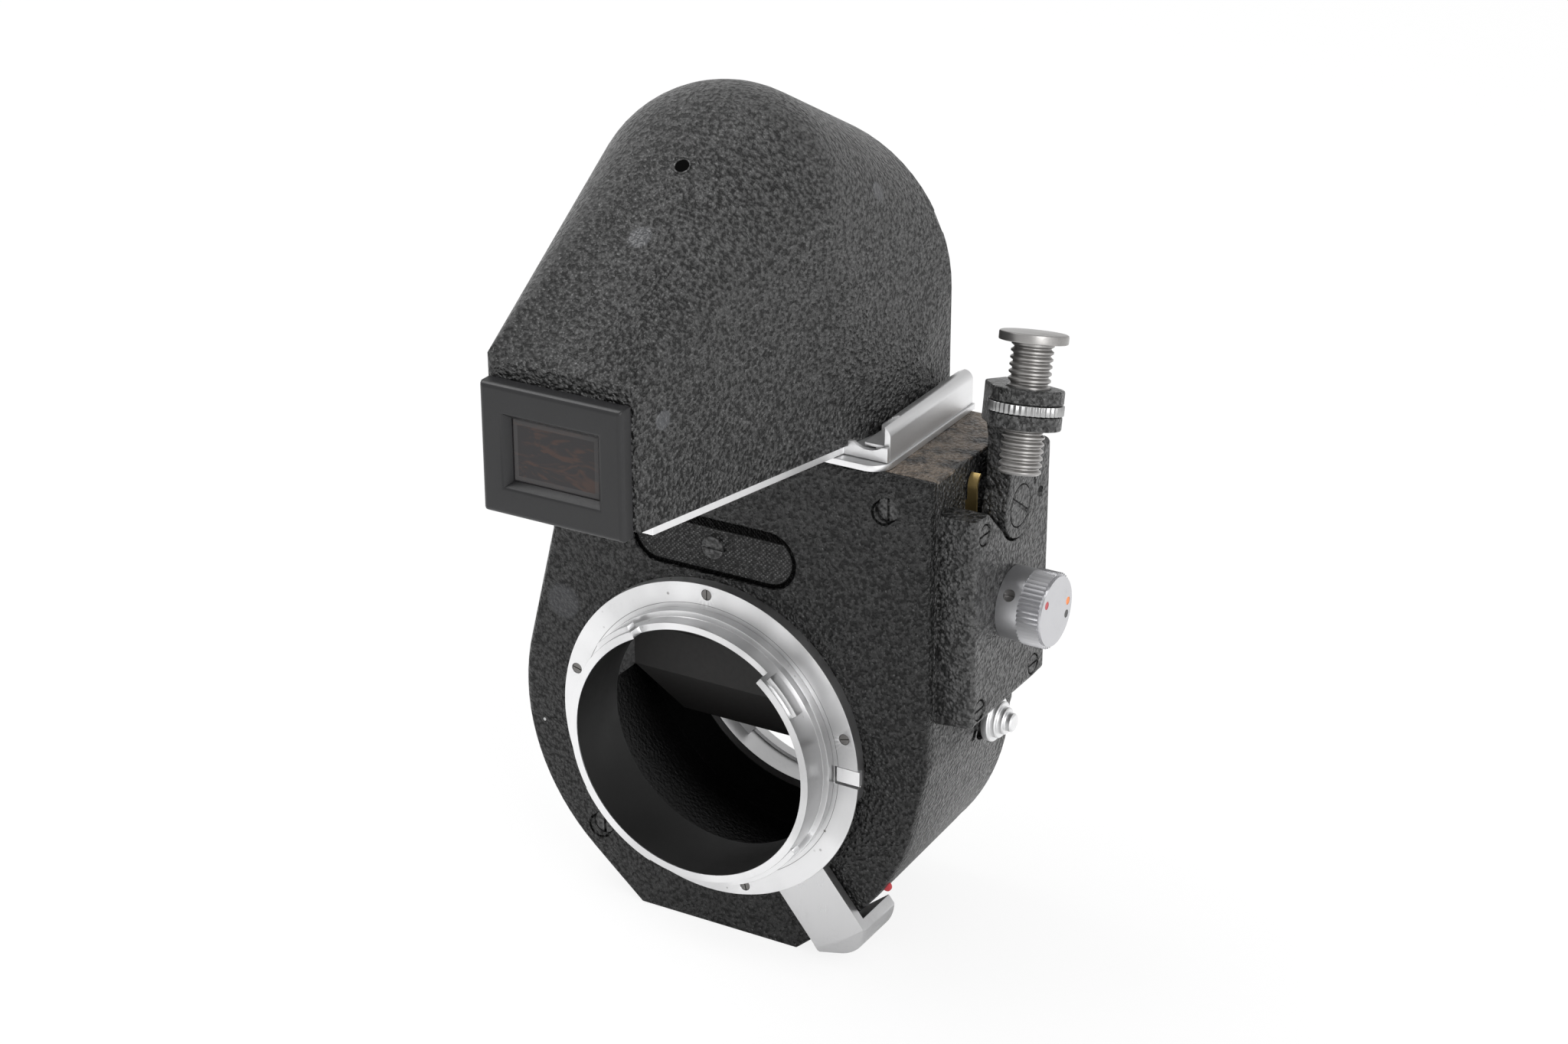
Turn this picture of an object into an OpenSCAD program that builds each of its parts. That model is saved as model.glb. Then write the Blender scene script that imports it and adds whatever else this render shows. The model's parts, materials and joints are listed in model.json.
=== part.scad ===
// Reflex housing with a prism finder, for a rangefinder camera, in millimetres.
// X is right as the photographer sees it, Y points forward to the lens, Z is up.
// The origin is the centre of the rear flange's face, on the lens axis.

/* [Housing] */
// Radius of the round lower part
drum_r = 34.7; // [34.4:0.1:36]
// Radius that this part loses from the seam to the front
drum_draft = 0.6; // [0:0.1:1]
// How far the flat right side stands out past the round part
side_out = 1.5; // [1.3:0.1:2.8]
// How far the left side of the top lies inside the round part
top_left_in = 6.4; // [5.2:0.1:6.6]
// Height of the top above the lens axis
top_z = 49; // [48:0.5:54]
// How far the flat foot lies inside the round part
foot_in = 0.9; // [0.5:0.1:1.1]
// Width of the flat foot
foot_w = 28; // [26:0.5:31]
// Thickness of the rear cover
cover_t = 2; // [1.8:0.1:2.6]
// Depth of the step in the lower zone of the rear cover
cover_step = 0.35; // [0.2:0.05:0.5]
// Depth from the seam to the front face
shell_depth = 31; // [31:0.5:36]
// Depth from the seam to the front of the square upper part
block_depth = 27.2; // [26.8:0.1:27.6]
// Edge rounding of the cover and of the shell's front
edge_r = 1.1; // [0.6:0.1:1.6]
// Thickness of the front wall
front_wall = 2; // [1.6:0.1:2.2]
// Thickness of the roof
roof_t = 2.5; // [2.2:0.1:3]
// Thickness of the wall round the lower part
drum_wall = 2.3; // [2:0.1:2.5]
// Width of the mirror box
box_w = 51; // [50.4:0.2:51.6]

/* [Rear bayonet] */
// Radius of the rear flange
flange_r = 26; // [25.8:0.1:26.6]
// Thickness of the rear flange
flange_t = 2; // [1.9:0.05:2.2]
// Radius of the pilot that centres in the camera
pilot_r = 21.95; // [21.9:0.01:22]
// Length of that pilot
pilot_l = 1.6; // [1.4:0.1:1.8]
// Radius of the groove behind the lugs
groove_r = 20.95; // [20.8:0.05:21.1]
// Radius of the tube's seat in the flange and the cover
seat_r = 21.3; // [21.2:0.05:21.5]
// Radius of the throat
throat_r = 19.7; // [19.2:0.1:19.9]
// Length of the bayonet tube behind the flange's face
tube_l = 6.2; // [6:0.1:6.6]
// Radius over the bayonet lugs
lug_r = 21.8; // [21.6:0.05:21.9]
// Circle of the flange screws
flange_screw_circle = 24.4; // [24.2:0.1:24.6]

/* [Release lever] */
// Angle of the lever below the horizontal
lever_angle = 51.2; // [50:0.5:53]
// Width of the lever
lever_w = 9.9; // [9:0.1:10.2]
// Thickness of the lever
lever_t = 1.55; // [1.4:0.05:1.6]
// Gap between the round part and the finger tab
tab_gap = 0.7; // [0.5:0.1:1.2]
// Thickness of the finger tab
tab_t = 2; // [1.6:0.1:2.2]
// Y of the finger tab's front end
tab_y = 10.2; // [9:0.2:11]
// Swing of the lever in degrees
lever_swing = 28; // [20:1:28]

/* [Lens side] */
// Height of the front flange above the shell's front
front_flange_t = 3; // [2.5:0.1:3.4]
// Radius of the front flange
front_flange_r = 27; // [26.6:0.1:28]
// Radius of the bore that takes the lens
lens_bore_r = 22; // [21.95:0.01:22.05]
// Radius inside the bayonet claws
claw_r = 20.3; // [20.1:0.1:20.6]

/* [Mirror] */
// Height of the mirror's hinge above the lens axis
mirror_hinge_z = 13.5; // [13:0.1:14.5]
// Radius of the hinge pins
mirror_pin_r = 1.2; // [1:0.05:1.4]
// Width of the mirror's frame
mirror_w = 33; // [30:0.5:34]
// Distance of the mirror's free edge from the hinge, along its face
mirror_reach = 24; // [22:0.1:24]
// Distance of the mirror's face from the hinge
mirror_drop = 4.3; // [4:0.1:4.5]

/* [Ground glass] */
// Width of the opening under the finder
view_w = 35; // [33:0.5:36]
// Depth of that opening
view_d = 20; // [18:0.5:20.5]
// Ledge that the glass rests on
glass_ledge = 1.6; // [1.4:0.1:1.8]
// Thickness of the glass
glass_t = 1.4; // [1.2:0.1:1.45]

/* [Finder seat] */
// Half width of the seat
seat_x = 28.3; // [28.3:0.1:28.8]
// Thickness of the seat's plate
seat_t = 1; // [0.8:0.1:1.2]
// Height of a rail above the seat's plate
rail_h = 5.2; // [5:0.1:5.4]
// Length of a rail
rail_l = 26; // [22:0.5:27]
// Half distance between the rails' lips
lip_x = 23.8; // [23.7:0.05:24]
// Travel of the finder out of its rails
finder_travel = 35; // [30:1:36]

/* [Prism finder] */
// Radius of the dome
dome_r = 19.4; // [18.5:0.1:20.5]
// Height of the dome's centre above the lens axis
dome_z = 82; // [80:0.5:84]
// Radius of the front arch
arch_r = 23.3; // [22.8:0.1:23.4]
// Height of the arch's centre above the lens axis
arch_z = 66.9; // [65:0.1:69]
// Y of the arch's front face
arch_y = 33.9; // [33:0.1:34.4]
// Y of the rear end of the prism housing
tail_y = -37; // [-40:0.5:-34]
// Half width of the rear end
tail_x = 11.8; // [11.7:0.1:12.2]
// Height of the rear end above the lens axis
tail_z = 72.7; // [72:0.1:75]
// Wall of the prism housing
finder_wall = 2.2; // [1.8:0.1:2.6]
// Thickness of the finder's base plate
base_t = 1.4; // [1.2:0.1:1.5]
// Width of the eyepiece surround
eye_w = 22.9; // [22:0.1:23.2]
// Height of the eyepiece surround
eye_h = 19.2; // [18.6:0.1:19.6]
// Depth of the eyepiece surround
eye_d = 2.7; // [2.4:0.1:3.2]
// Width of the eyepiece window
window_w = 14; // [13:0.1:14.6]
// Height of the eyepiece window
window_h = 9.3; // [8.8:0.1:9.8]

/* [Side cover] */
// Thickness of the side cover
case_t = 5.8; // [5.6:0.1:6]
// Y of its rear edge
case_y0 = 4.9; // [4.6:0.1:5.2]
// Y of its front edge
case_y1 = 29.4; // [28.8:0.1:30]
// Height of its lower edge above the lens axis
case_z0 = 10.1; // [9.6:0.1:10.8]
// Height of its top in front of the arm
case_z1 = 48.3; // [47:0.1:48.8]
// Height of its top behind the arm
case_step_z = 43.5; // [42.8:0.1:44]

/* [Release arm] */
// Y of the arm's pivot
pivot_y = 18.8; // [18.6:0.1:19]
// Height of the arm's pivot above the lens axis
pivot_z = 41.1; // [40.8:0.1:41.4]
// Radius of the arm's round end
arm_end_r = 4.95; // [4.7:0.05:5]
// Thickness of the arm
arm_t = 4; // [3.9:0.1:4.2]
// Radius of the pivot screw's shoulder
pivot_r = 1.8; // [1.6:0.05:2]
// Radius of the pivot screw's head
pivot_head_r = 3.15; // [3:0.05:3.3]
// Running clearance of pins, shafts and screws
run_gap = 0.05; // [0.03:0.01:0.08]

/* [Plunger] */
// Distance of the plunger's axis from the arm's inner face
plunger_x = 8.2; // [8:0.1:8.4]
// Y of the knurled nut's centre
nut_y = 10.8; // [10.4:0.1:11.2]
// Height of the knurled nut's centre above the lens axis
nut_z = 60.2; // [59.8:0.1:60.6]
// Forward lean of the plunger in degrees
lean_forward = 16.3; // [15.5:0.1:17]
// Sideways lean of the plunger in degrees
lean_in = 3; // [2.5:0.1:3.5]
// Radius of the threaded rod
rod_r = 3.05; // [2.8:0.05:3.2]
// Length of the rod below the nut's centre
rod_down = 9.4; // [8.8:0.1:9.8]
// Length of the rod above the nut's centre
rod_up = 9.3; // [9:0.1:10]
// Radius of the plunger's disc
disc_r = 4.95; // [4.6:0.05:5.2]
// Thickness of the plunger's disc
disc_t = 1.35; // [1.2:0.05:1.6]
// Radius of the knurled nut
nut_r = 5.4; // [5.3:0.05:5.6]
// Thickness of the knurled nut
nut_t = 1.4; // [1.3:0.05:1.5]
// Number of knurls on the nut
nut_knurls = 40; // [36:2:44]
// Thickness of each prong of the fork
prong_t = 2.1; // [1.9:0.1:2.3]

/* [Mode dial] */
// Y of the dial's axis
dial_y = 17.1; // [16.6:0.1:17.6]
// Height of the dial's axis above the lens axis
dial_z = 26.4; // [25.8:0.1:26.8]
// Radius of the dial's plain collar
collar_r = 5.5; // [5.2:0.05:5.6]
// Length of the collar
collar_l = 3.45; // [3.2:0.05:3.7]
// Radius of the knurled grip
grip_r = 5.75; // [5.6:0.05:6]
// Length of the knurled grip
grip_l = 3.8; // [3.5:0.1:4.2]
// Number of grooves in the grip
grip_grooves = 48; // [40:2:54]
// Radius of the dial's shaft
dial_shaft_r = 2; // [1.8:0.05:2.2]

/* [Lens lock button] */
// Y of the button's axis
button_y = 22.7; // [22.2:0.1:23]
// Height of the button's axis above the lens axis
button_z = 3.2; // [3:0.1:3.6]
// Radius of the button's lowest ring
button_r = 3.6; // [3.5:0.05:3.7]
// Radius that each ring loses
button_step_r = 0.68; // [0.6:0.02:0.7]
// Height of each ring
button_step_h = 0.62; // [0.55:0.01:0.7]
// Travel of the button
button_travel = 1.5; // [1:0.1:1.6]
// Radius of the button's pin
button_pin_r = 1; // [0.9:0.05:1.2]

/* [Name plate] */
// Width of the name plate's recess
plate_w = 28.4; // [26:0.2:30]
// Height of the name plate's recess
plate_h = 9.2; // [8.6:0.1:9.8]
// Height of the recess's centre above the lens axis
plate_z = 31.4; // [31.2:0.1:32.5]
// Depth of the recess
plate_depth = 0.7; // [0.6:0.05:0.8]

/* [Hidden] */
$fn = 96;
EPS = 0.01;
CHROME = "silver";
ENAMEL = "#2b2b2c";

side_x = drum_r + side_out;
top_left_x = drum_r - top_left_in;
foot_z = drum_r - foot_in;
seam_y = flange_t + cover_t;
front_y = seam_y + shell_depth;
block_y1 = seam_y + block_depth;
lens_face_y = front_y + front_flange_t;
lower_cover_y = flange_t + cover_step;
cavity_top = top_z - roof_t;
cavity_r = drum_r - drum_wall;
cavity_y1 = front_y - front_wall;
// Above this height the hollow is square and ends behind the upper part's front.
cavity_split_z = -2;
upper_y1 = block_y1 - front_wall;
pocket_r = cavity_r - 0.4;
// The left side bends here, and the right side leaves the round part here.
knee = [-(top_left_x + 0.6), 28];
side_low_z = 3;
seat_z = top_z + seat_t;
// Gap between parts that slide past each other.
slide_gap = 0.1;
base_z = seat_z + slide_gap;
body_z = base_z + base_t;
// The arm and the plunger stand off the housing's side.
arm_x0 = side_x + 2.1;
arm_x1 = arm_x0 + arm_t;
nut_x = arm_x0 + plunger_x;
// Depth of the ground glass's seat in the roof.
glass_seat = 1.5;
// Thread radii of the screws, and what a plain hole is wider.
cover_thread_r = 0.9;
seat_thread_r = 0.7;
case_thread_r = 0.8;
plate_thread_r = 0.8;
flange_thread_r = 0.5;
front_thread_r = 0.6;
hole_gap = 0.05;
// How far a cutting form runs past the surface that it opens.
CUT = 1;

// ---- Helpers ----

// Extrudes a drawing of X and Z along Y.
module along_y(y0, y1) {
    translate([0, y1, 0]) rotate([90, 0, 0]) linear_extrude(y1 - y0) children();
}

// Extrudes a drawing of Y and Z along X.
module along_x(x0, x1) {
    translate([x0, 0, 0]) rotate([90, 0, 90]) linear_extrude(x1 - x0) children();
}

// A ring, or a disc where inner is 0, about the lens axis.
module ring_y(outer, inner, y0, y1) {
    along_y(y0, y1) difference() {
        circle(outer);
        if (inner > 0) circle(inner);
    }
}

// A sector between two angles that follows the lens axis.
module sector(r, a0, a1) {
    steps = max(2, ceil((a1 - a0) / 15));
    far = r / cos((a1 - a0) / steps / 2);
    points = [for (i = [0:steps]) let(a = a0 + (a1 - a0) * i / steps) far * [cos(a), sin(a)]];
    polygon(concat([[0, 0]], points));
}

// Point where a tangent from p touches a circle of radius r about the origin.
function touch(p, r, turn) =
    let(a = atan2(p.y, p.x) + turn * acos(r / norm(p))) r * [cos(a), sin(a)];

// A slotted screw that points down, with its head's face at z = 0.
module slotted_screw(head_r, head_t, shank_r, length) {
    difference() {
        union() {
            translate([0, 0, -head_t]) cylinder(r = head_r, h = head_t, $fn = 40);
            translate([0, 0, -length]) cylinder(r = shank_r, h = length - head_t / 2, $fn = 24);
        }
        translate([-head_r * 1.1, -head_r * 0.11, -head_t * 0.45])
            cube([head_r * 2.2, head_r * 0.22, head_t]);
    }
}

// ---- Housing ----

// Outline of the round part with its flat foot.
module drum_profile(inset, draft) {
    r = drum_r - inset - draft;
    foot = [foot_w / 2, -(foot_z - inset)];
    intersection() {
        circle(r);
        translate([-r, foot.y]) square([2 * r, 3 * r]);
    }
    polygon([touch(foot, r, 1), foot, [-foot.x, foot.y], touch([-foot.x, foot.y], r, -1)]);
}

// Outline of the housing below its knee.
module lower_profile(inset, draft) {
    r = drum_r - inset - draft;
    right = side_x - inset;
    left = knee + [inset, 0];
    drum_profile(inset, draft);
    polygon([touch([right, side_low_z], r, -1), [right, side_low_z], [right, knee.y], left,
             touch(left, r, 1)]);
}

// Outline of the housing above its knee.
module upper_profile(inset) {
    polygon([knee + [inset, 0], [side_x - inset, knee.y], [side_x - inset, top_z - inset],
             [-(top_left_x - inset), top_z - inset]]);
}

// Stations of a rounded end: y, and what the outline has lost there.
function end_cuts(face, dir) =
    [for (a = [0:30:90]) [face - dir * edge_r * (1 - sin(a)), edge_r * (1 - cos(a))]];

// A plate or block of the housing's outline, rounded at the end that faces away.
module housing_block(seam, face, draft) {
    dir = sign(face - seam);
    cuts = end_cuts(face, dir);
    hull() {
        slice(seam, dir) lower_profile(0, 0);
        for (c = cuts) slice(c[0], -dir) lower_profile(c[1], draft);
    }
    hull() {
        slice(seam, dir) upper_profile(0);
        for (c = cuts) slice(c[0], -dir) upper_profile(c[1]);
    }
}

// The round part, that reaches further forward than the square upper part.
module drum_block() {
    overlap = 3;
    foot_relief = 0.1;
    hull() {
        slice(block_y1 - overlap, 1) drum_profile(foot_relief, drum_draft);
        for (c = end_cuts(front_y, 1))
            slice(c[0], -1) drum_profile(c[1] + foot_relief, drum_draft - foot_relief);
    }
}

// A thin slice for hulls, about y, or on one side of it.
module slice(y, side = 0) {
    along_y(y + (side - 1) * EPS / 2, y + (side + 1) * EPS / 2) children();
}

// Screw spots as X and Z or X and Y, and angles of the screws on circles.
// How far they lie in from the top and its sides, and from the round part's rim.
top_screw_drop = 5.1;
right_screw_in = 7;
left_screw_in = 4.1;
low_screw_in = 5.1416;
low_screw_angle = 45.548;
low_screw = (drum_r - low_screw_in) * [cos(low_screw_angle), -sin(low_screw_angle)];
cover_screw_spots = [[side_x - right_screw_in, top_z - top_screw_drop],
                     [left_screw_in - top_left_x, top_z - top_screw_drop],
                     [-low_screw.x, low_screw.y], low_screw];
// The seat's screws stand beside the ground glass.
seat_screw_gap = 2.5;
seat_screw_x = view_w / 2 + glass_ledge + seat_screw_gap;
seat_screw_y = [9, 26.5];
seat_screw_spots = [for (x = [-seat_screw_x, seat_screw_x], y = seat_screw_y) [x, y]];
flange_screw_angles = [90, 15, 165, -75, -105];
front_screw_angles = [45, 135, 225, 315];
// Head and sleeve of the cover's screws, and the bosses that they run into.
cover_screw_r = 1.85;
cover_screw_l = 6;
boss_r = 3.2;
boss_l = 8;
front_spigot_r = lens_bore_r + 2;
front_screw_circle = (front_flange_r + front_spigot_r) / 2;
mirror_hinge_y = seam_y + 2.8;
hinge_hole_l = 2.4;
view_y = (seam_y + upper_y1) / 2 + 1;
// The button's recess, its pin's hole and the slot behind the button.
button_recess_r = button_r + 0.15;
button_recess_x = side_x - button_travel - 0.4;
button_hole_l = 9;
button_slot = [0.9, 4.4, 1.2];
// The dial's shaft and the arm's pivot screw run this deep into the side.
dial_hole_l = 5;
pivot_hole_l = 6;
pivot_thread_r = 1.4;

// The box that the mirror swings in, open at the seam.
module mirror_box() {
    along_y(seam_y - EPS, upper_y1)
        translate([-box_w / 2, cavity_split_z]) square([box_w, cavity_top - cavity_split_z]);
    along_y(seam_y - EPS, cavity_y1) intersection() {
        circle(cavity_r);
        translate([-drum_r, cavity_split_z + EPS - drum_r]) square([2 * drum_r, drum_r]);
    }
    along_y(upper_y1 - EPS, cavity_y1) circle(pocket_r);
}

module main_shell() {
    color(ENAMEL) difference() {
        union() {
            difference() {
                union() {
                    housing_block(seam_y, block_y1, drum_draft * block_depth / shell_depth);
                    drum_block();
                }
                mirror_box();
            }
            for (p = cover_screw_spots) translate([p.x, 0, p.y]) along_y(seam_y, seam_y + boss_l)
                circle(boss_r, $fn = 40);
            translate([0, pivot_y, pivot_z]) along_x(side_x - 1, arm_x0 - run_gap)
                circle(pivot_head_r, $fn = 48);
        }
        for (p = cover_screw_spots) translate([p.x, 0, p.y])
            along_y(seam_y - EPS, seam_y + cover_screw_l) circle(cover_thread_r, $fn = 24);
        ring_y(front_spigot_r, 0, cavity_y1 - CUT, front_y + CUT);
        ring_y(retainer_r + slide_gap, 0, seam_y - CUT, seam_y + retainer_t + slide_gap);
        for (a = front_screw_angles) rotate([0, -a, 0]) translate([front_screw_circle, 0, 0])
            along_y(front_y - front_wall + 0.4, front_y + CUT) circle(front_thread_r, $fn = 24);
        translate([0, view_y, 0]) {
            translate([-view_w / 2, -view_d / 2, cavity_top - CUT])
                cube([view_w, view_d, roof_t + 2 * CUT]);
            translate([-view_w / 2 - glass_ledge, -view_d / 2 - glass_ledge, top_z - glass_seat])
                cube([view_w + 2 * glass_ledge, view_d + 2 * glass_ledge, glass_seat + CUT]);
        }
        for (p = seat_screw_spots) translate([p.x, p.y, top_z - 1.6])
            cylinder(r = seat_thread_r, h = 1.6 + CUT, $fn = 24);
        for (s = [-1, 1])
            translate([s * (box_w + hinge_hole_l) / 2 - s * 0.3, mirror_hinge_y, mirror_hinge_z])
                along_x(-hinge_hole_l / 2, hinge_hole_l / 2) circle(mirror_pin_r + run_gap, $fn = 32);
        translate([0, pivot_y, pivot_z]) {
            along_x(side_x - pivot_hole_l, arm_x0) circle(pivot_thread_r, $fn = 32);
            along_x(side_x, arm_x0) circle(pivot_r, $fn = 32);
        }
        translate([0, dial_y, dial_z]) along_x(side_x - dial_hole_l, side_x + CUT)
            circle(dial_shaft_r + run_gap, $fn = 32);
        for (p = case_screw_spots) translate([0, p.x, p.y]) along_x(side_x - case_hole_l, side_x + CUT)
            circle(case_thread_r, $fn = 24);
        translate([0, button_y, button_z]) {
            along_x(button_recess_x, side_x + CUT) circle(button_recess_r, $fn = 48);
            along_x(side_x - button_hole_l, side_x) circle(button_pin_r + run_gap, $fn = 32);
            translate([0, -button_slot.y, 0]) along_x(side_x - button_slot.z, side_x + CUT)
                square([button_slot.x, button_slot.y], center = true);
        }
        leaf_slot();
    }
}

module rear_cover() {
    color(ENAMEL) difference() {
        housing_block(seam_y, flange_t, 0);
        ring_y(seat_r, 0, flange_t - CUT, seam_y + CUT);
        ring_y(lever_ring_r + 2 * run_gap, 0, flange_t - CUT, lever_ring_y1 + run_gap);
        lower_zone();
        translate([0, 0, plate_z]) {
            along_y(flange_t - CUT, flange_t + plate_depth) stadium(plate_w, plate_h);
            along_y(flange_t - CUT, seam_y + CUT) circle(plate_thread_r, $fn = 24);
        }
        for (p = cover_screw_spots) translate([p.x, 0, p.y]) {
            along_y(flange_t - CUT, flange_t + cover_sink + cover_head_t)
                circle(cover_screw_r + run_gap, $fn = 40);
            along_y(flange_t, seam_y + CUT) circle(cover_thread_r + hole_gap, $fn = 24);
        }
        for (a = flange_screw_angles) rotate([0, -a, 0]) translate([flange_screw_circle, 0, 0])
            along_y(flange_t - CUT, flange_t + 1.2) circle(flange_thread_r, $fn = 24);
    }
}

// What the lower zone of the rear cover lies deeper, below a step that slants a little.
module lower_zone() {
    step_left = -5;
    step_right = 7.4;
    slant = 0.02;
    far = 60;
    difference() {
        along_y(flange_t - CUT, lower_cover_y)
            polygon([[-far, step_left], [-flange_r, step_left + slant * flange_r],
                     [flange_r, step_right - slant * flange_r], [far, step_right],
                     [far, -far], [-far, -far]]);
        ring_y(flange_r + 0.5, 0, flange_t - 2 * CUT, seam_y);
    }
}

module stadium(w, h) {
    for (s = [-1, 1]) translate([s * (w - h) / 2, 0]) circle(h / 2, $fn = 64);
    square([w - h, h], center = true);
}

// The cover's screws lie this deep under its face, with heads of this thickness.
cover_sink = 0.45;
cover_head_t = 0.85;

module cover_screws() {
    color(ENAMEL) for (p = cover_screw_spots)
        translate([p.x, flange_t + cover_sink, p.y]) rotate([90, 90, 0])
            slotted_screw(cover_screw_r, cover_head_t, cover_thread_r, cover_screw_l);
}

plate_t = 0.4;
plate_gap = 0.15;
plate_head_r = 1.83;
plate_head_t = 0.5;

module name_plate() {
    color(ENAMEL) translate([0, 0, plate_z])
        along_y(flange_t + plate_depth - plate_t, flange_t + plate_depth) difference() {
            stadium(plate_w - 2 * plate_gap, plate_h - 2 * plate_gap);
            circle(plate_thread_r, $fn = 24);
        }
}

module name_plate_screw() {
    color(ENAMEL) translate([0, flange_t + plate_depth - plate_t - plate_head_t, plate_z])
        rotate([90, 60, 0]) slotted_screw(plate_head_r, plate_head_t, plate_thread_r, 1.9);
}

// ---- Rear bayonet ----

lever_ring_r = 23.3;
lever_y0 = flange_t - run_gap - lever_t;
lever_ring_y1 = flange_t + 1.35;
lever_end_r = 6.1;
lever_reach = drum_r + tab_gap + tab_t + 1.9;
lever_end = [lever_reach - lever_end_r, 0.2];
// Sectors of the bayonet's lugs, their reach behind the pilot and the rim's low part.
lug_sectors = [[-150.2, -110], [-72, -33], [31.3, 49.7], [119.5, 138.5]];
lug_y = [1.9, 3.8];
low_rim = [52, 117];
// The ring that holds the tube from inside.
retainer_t = 1.2;
retainer_r = seat_r + 3.7;
key_w = 2.4;
key_t = 0.9;
key_x = flange_r - 3.6;
key_z = 0.3;
// The flange's screws: how deep their heads lie, and how thick and wide these are.
flange_sink = 0.1;
flange_head_t = 0.4;
flange_head_r = 0.8;

module rear_flange() {
    root_half = asin(lever_w / 2 / lever_ring_r);
    slot_y = lever_y0 - run_gap;
    color(CHROME) difference() {
        ring_y(flange_r, seat_r, 0, flange_t);
        along_y(slot_y, flange_t + CUT) difference() {
            sector(2 * flange_r, -lever_angle - root_half - 3,
                   -lever_angle + root_half + lever_swing + 3);
            circle(lever_ring_r - 0.8);
        }
        for (a = flange_screw_angles) rotate([0, -a, 0]) translate([flange_screw_circle, 0, 0]) {
            along_y(-CUT, flange_sink + flange_head_t) circle(flange_head_r + hole_gap, $fn = 32);
            along_y(-CUT, flange_t + CUT) circle(flange_thread_r, $fn = 24);
        }
        translate([key_x - 0.4, -CUT, key_z - key_w / 2 - 0.5]) cube([9, key_t + CUT, key_w + 0.5]);
    }
}

// The key stands a little out of the flange's face and rim.
module lock_key() {
    proud = 0.05;
    color(CHROME) translate([key_x, -proud, key_z - key_w / 2])
        cube([flange_r + 0.25 - key_x, key_t + proud, key_w]);
}

module bayonet_tube() {
    rim_cut = 2.2;
    color(CHROME) difference() {
        union() {
            ring_y(groove_r, throat_r, -tube_l, 0.5);
            ring_y(pilot_r, throat_r, -pilot_l, 0);
            ring_y(seat_r, throat_r, 0, seam_y + retainer_t);
            for (s = lug_sectors) along_y(-pilot_l - lug_y[1], -pilot_l - lug_y[0]) difference() {
                intersection() {
                    circle(lug_r);
                    sector(2 * throat_r, s[0], s[1]);
                }
                circle(throat_r);
            }
        }
        along_y(-tube_l - CUT, -tube_l + rim_cut) sector(2 * throat_r, low_rim[0], low_rim[1]);
    }
}

module retaining_ring() {
    color("dimgray") ring_y(retainer_r, seat_r, seam_y, seam_y + retainer_t);
}

module flange_screws() {
    color("gray") for (a = flange_screw_angles) rotate([0, -a, 0])
        translate([flange_screw_circle, flange_sink, 0]) rotate([90, 0, 0])
            slotted_screw(flange_head_r, flange_head_t, flange_thread_r, flange_t + 1);
}

// Outline of the lever from its root to its round end, with +X along it.
module lever_plan(from, to) {
    intersection() {
        union() {
            translate([0, -lever_w / 2]) square([lever_end.x, lever_w]);
            translate(lever_end) circle(lever_end_r);
        }
        translate([from, -lever_w / 2]) square([to - from, lever_w]);
    }
}

module release_lever() {
    root_r = lever_ring_r - 0.75;
    fold_x = lever_end.x + 3.6;
    fold_y = 1.3;
    color(CHROME) rotate([0, lever_angle, 0]) union() {
        ring_y(lever_ring_r, seat_r + run_gap, flange_t + run_gap, lever_ring_y1);
        along_y(lever_y0, flange_t - run_gap) difference() {
            lever_plan(0, fold_x);
            circle(root_r);
        }
        along_y(flange_t - 0.2, flange_t + 0.2) intersection() {
            difference() {
                circle(lever_ring_r);
                circle(root_r);
            }
            lever_plan(0, flange_r);
        }
        hull() {
            slice(lever_y0 + EPS / 2) lever_plan(fold_x - 1, fold_x);
            slice(lever_y0 + fold_y) lever_plan(fold_x - 1, 2 * drum_r);
        }
        along_y(lever_y0 + fold_y, tab_y) lever_plan(drum_r + tab_gap, 2 * drum_r);
    }
}

// ---- Lens side ----

module front_ring() {
    relief_r = lens_bore_r + 0.6;
    claw_y1 = front_y + 1;
    claw_sectors = [for (a = [90, 210, 330]) [a - 24, a + 24]];
    color(CHROME) difference() {
        union() {
            ring_y(front_flange_r, lens_bore_r, claw_y1 + 0.2, lens_face_y);
            ring_y(front_flange_r, relief_r, front_y, claw_y1 + 0.3);
            ring_y(front_spigot_r, relief_r, cavity_y1 - 1.3, front_y + 0.5);
            for (s = claw_sectors) along_y(claw_y1 - 1.4, claw_y1) difference() {
                intersection() {
                    circle(relief_r + 0.3);
                    sector(2 * throat_r, s[0], s[1]);
                }
                circle(claw_r);
            }
        }
        for (a = front_screw_angles) rotate([0, -a, 0]) translate([front_screw_circle, 0, 0]) {
            along_y(lens_face_y - front_sink - front_head_t, lens_face_y + CUT)
                circle(front_head_r + hole_gap, $fn = 32);
            along_y(front_y - CUT, lens_face_y) circle(front_thread_r + hole_gap, $fn = 24);
        }
    }
}

// Heads of the front ring's screws: how deep they lie, how thick and how wide.
front_sink = 0.2;
front_head_t = 0.6;
front_head_r = 1.1;

module front_ring_screws() {
    color("gray") for (a = front_screw_angles) rotate([0, -a, 0])
        translate([front_screw_circle, lens_face_y - front_sink, 0]) rotate([-90, 0, 0])
            slotted_screw(front_head_r, front_head_t, front_thread_r, front_flange_t + 1.2);
}

// ---- Mirror ----

mirror_glass_t = 0.9;
mirror_back_t = 0.5;
mirror_rim = 0.8;
mirror_root = 4;
mirror_gap = 0.03;

// Places children in the mirror's own frame: hinge at the origin, +Y along its face.
module at_mirror() {
    translate([0, mirror_hinge_y, mirror_hinge_z]) rotate([-45, 0, 0]) children();
}

// The mirror's plan with its edge drawn in.
module mirror_plan(inset, height) {
    translate([-mirror_w / 2 + inset, mirror_root + inset, 0])
        cube([mirror_w - 2 * inset, mirror_reach - mirror_root - 2 * inset, height]);
}

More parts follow.
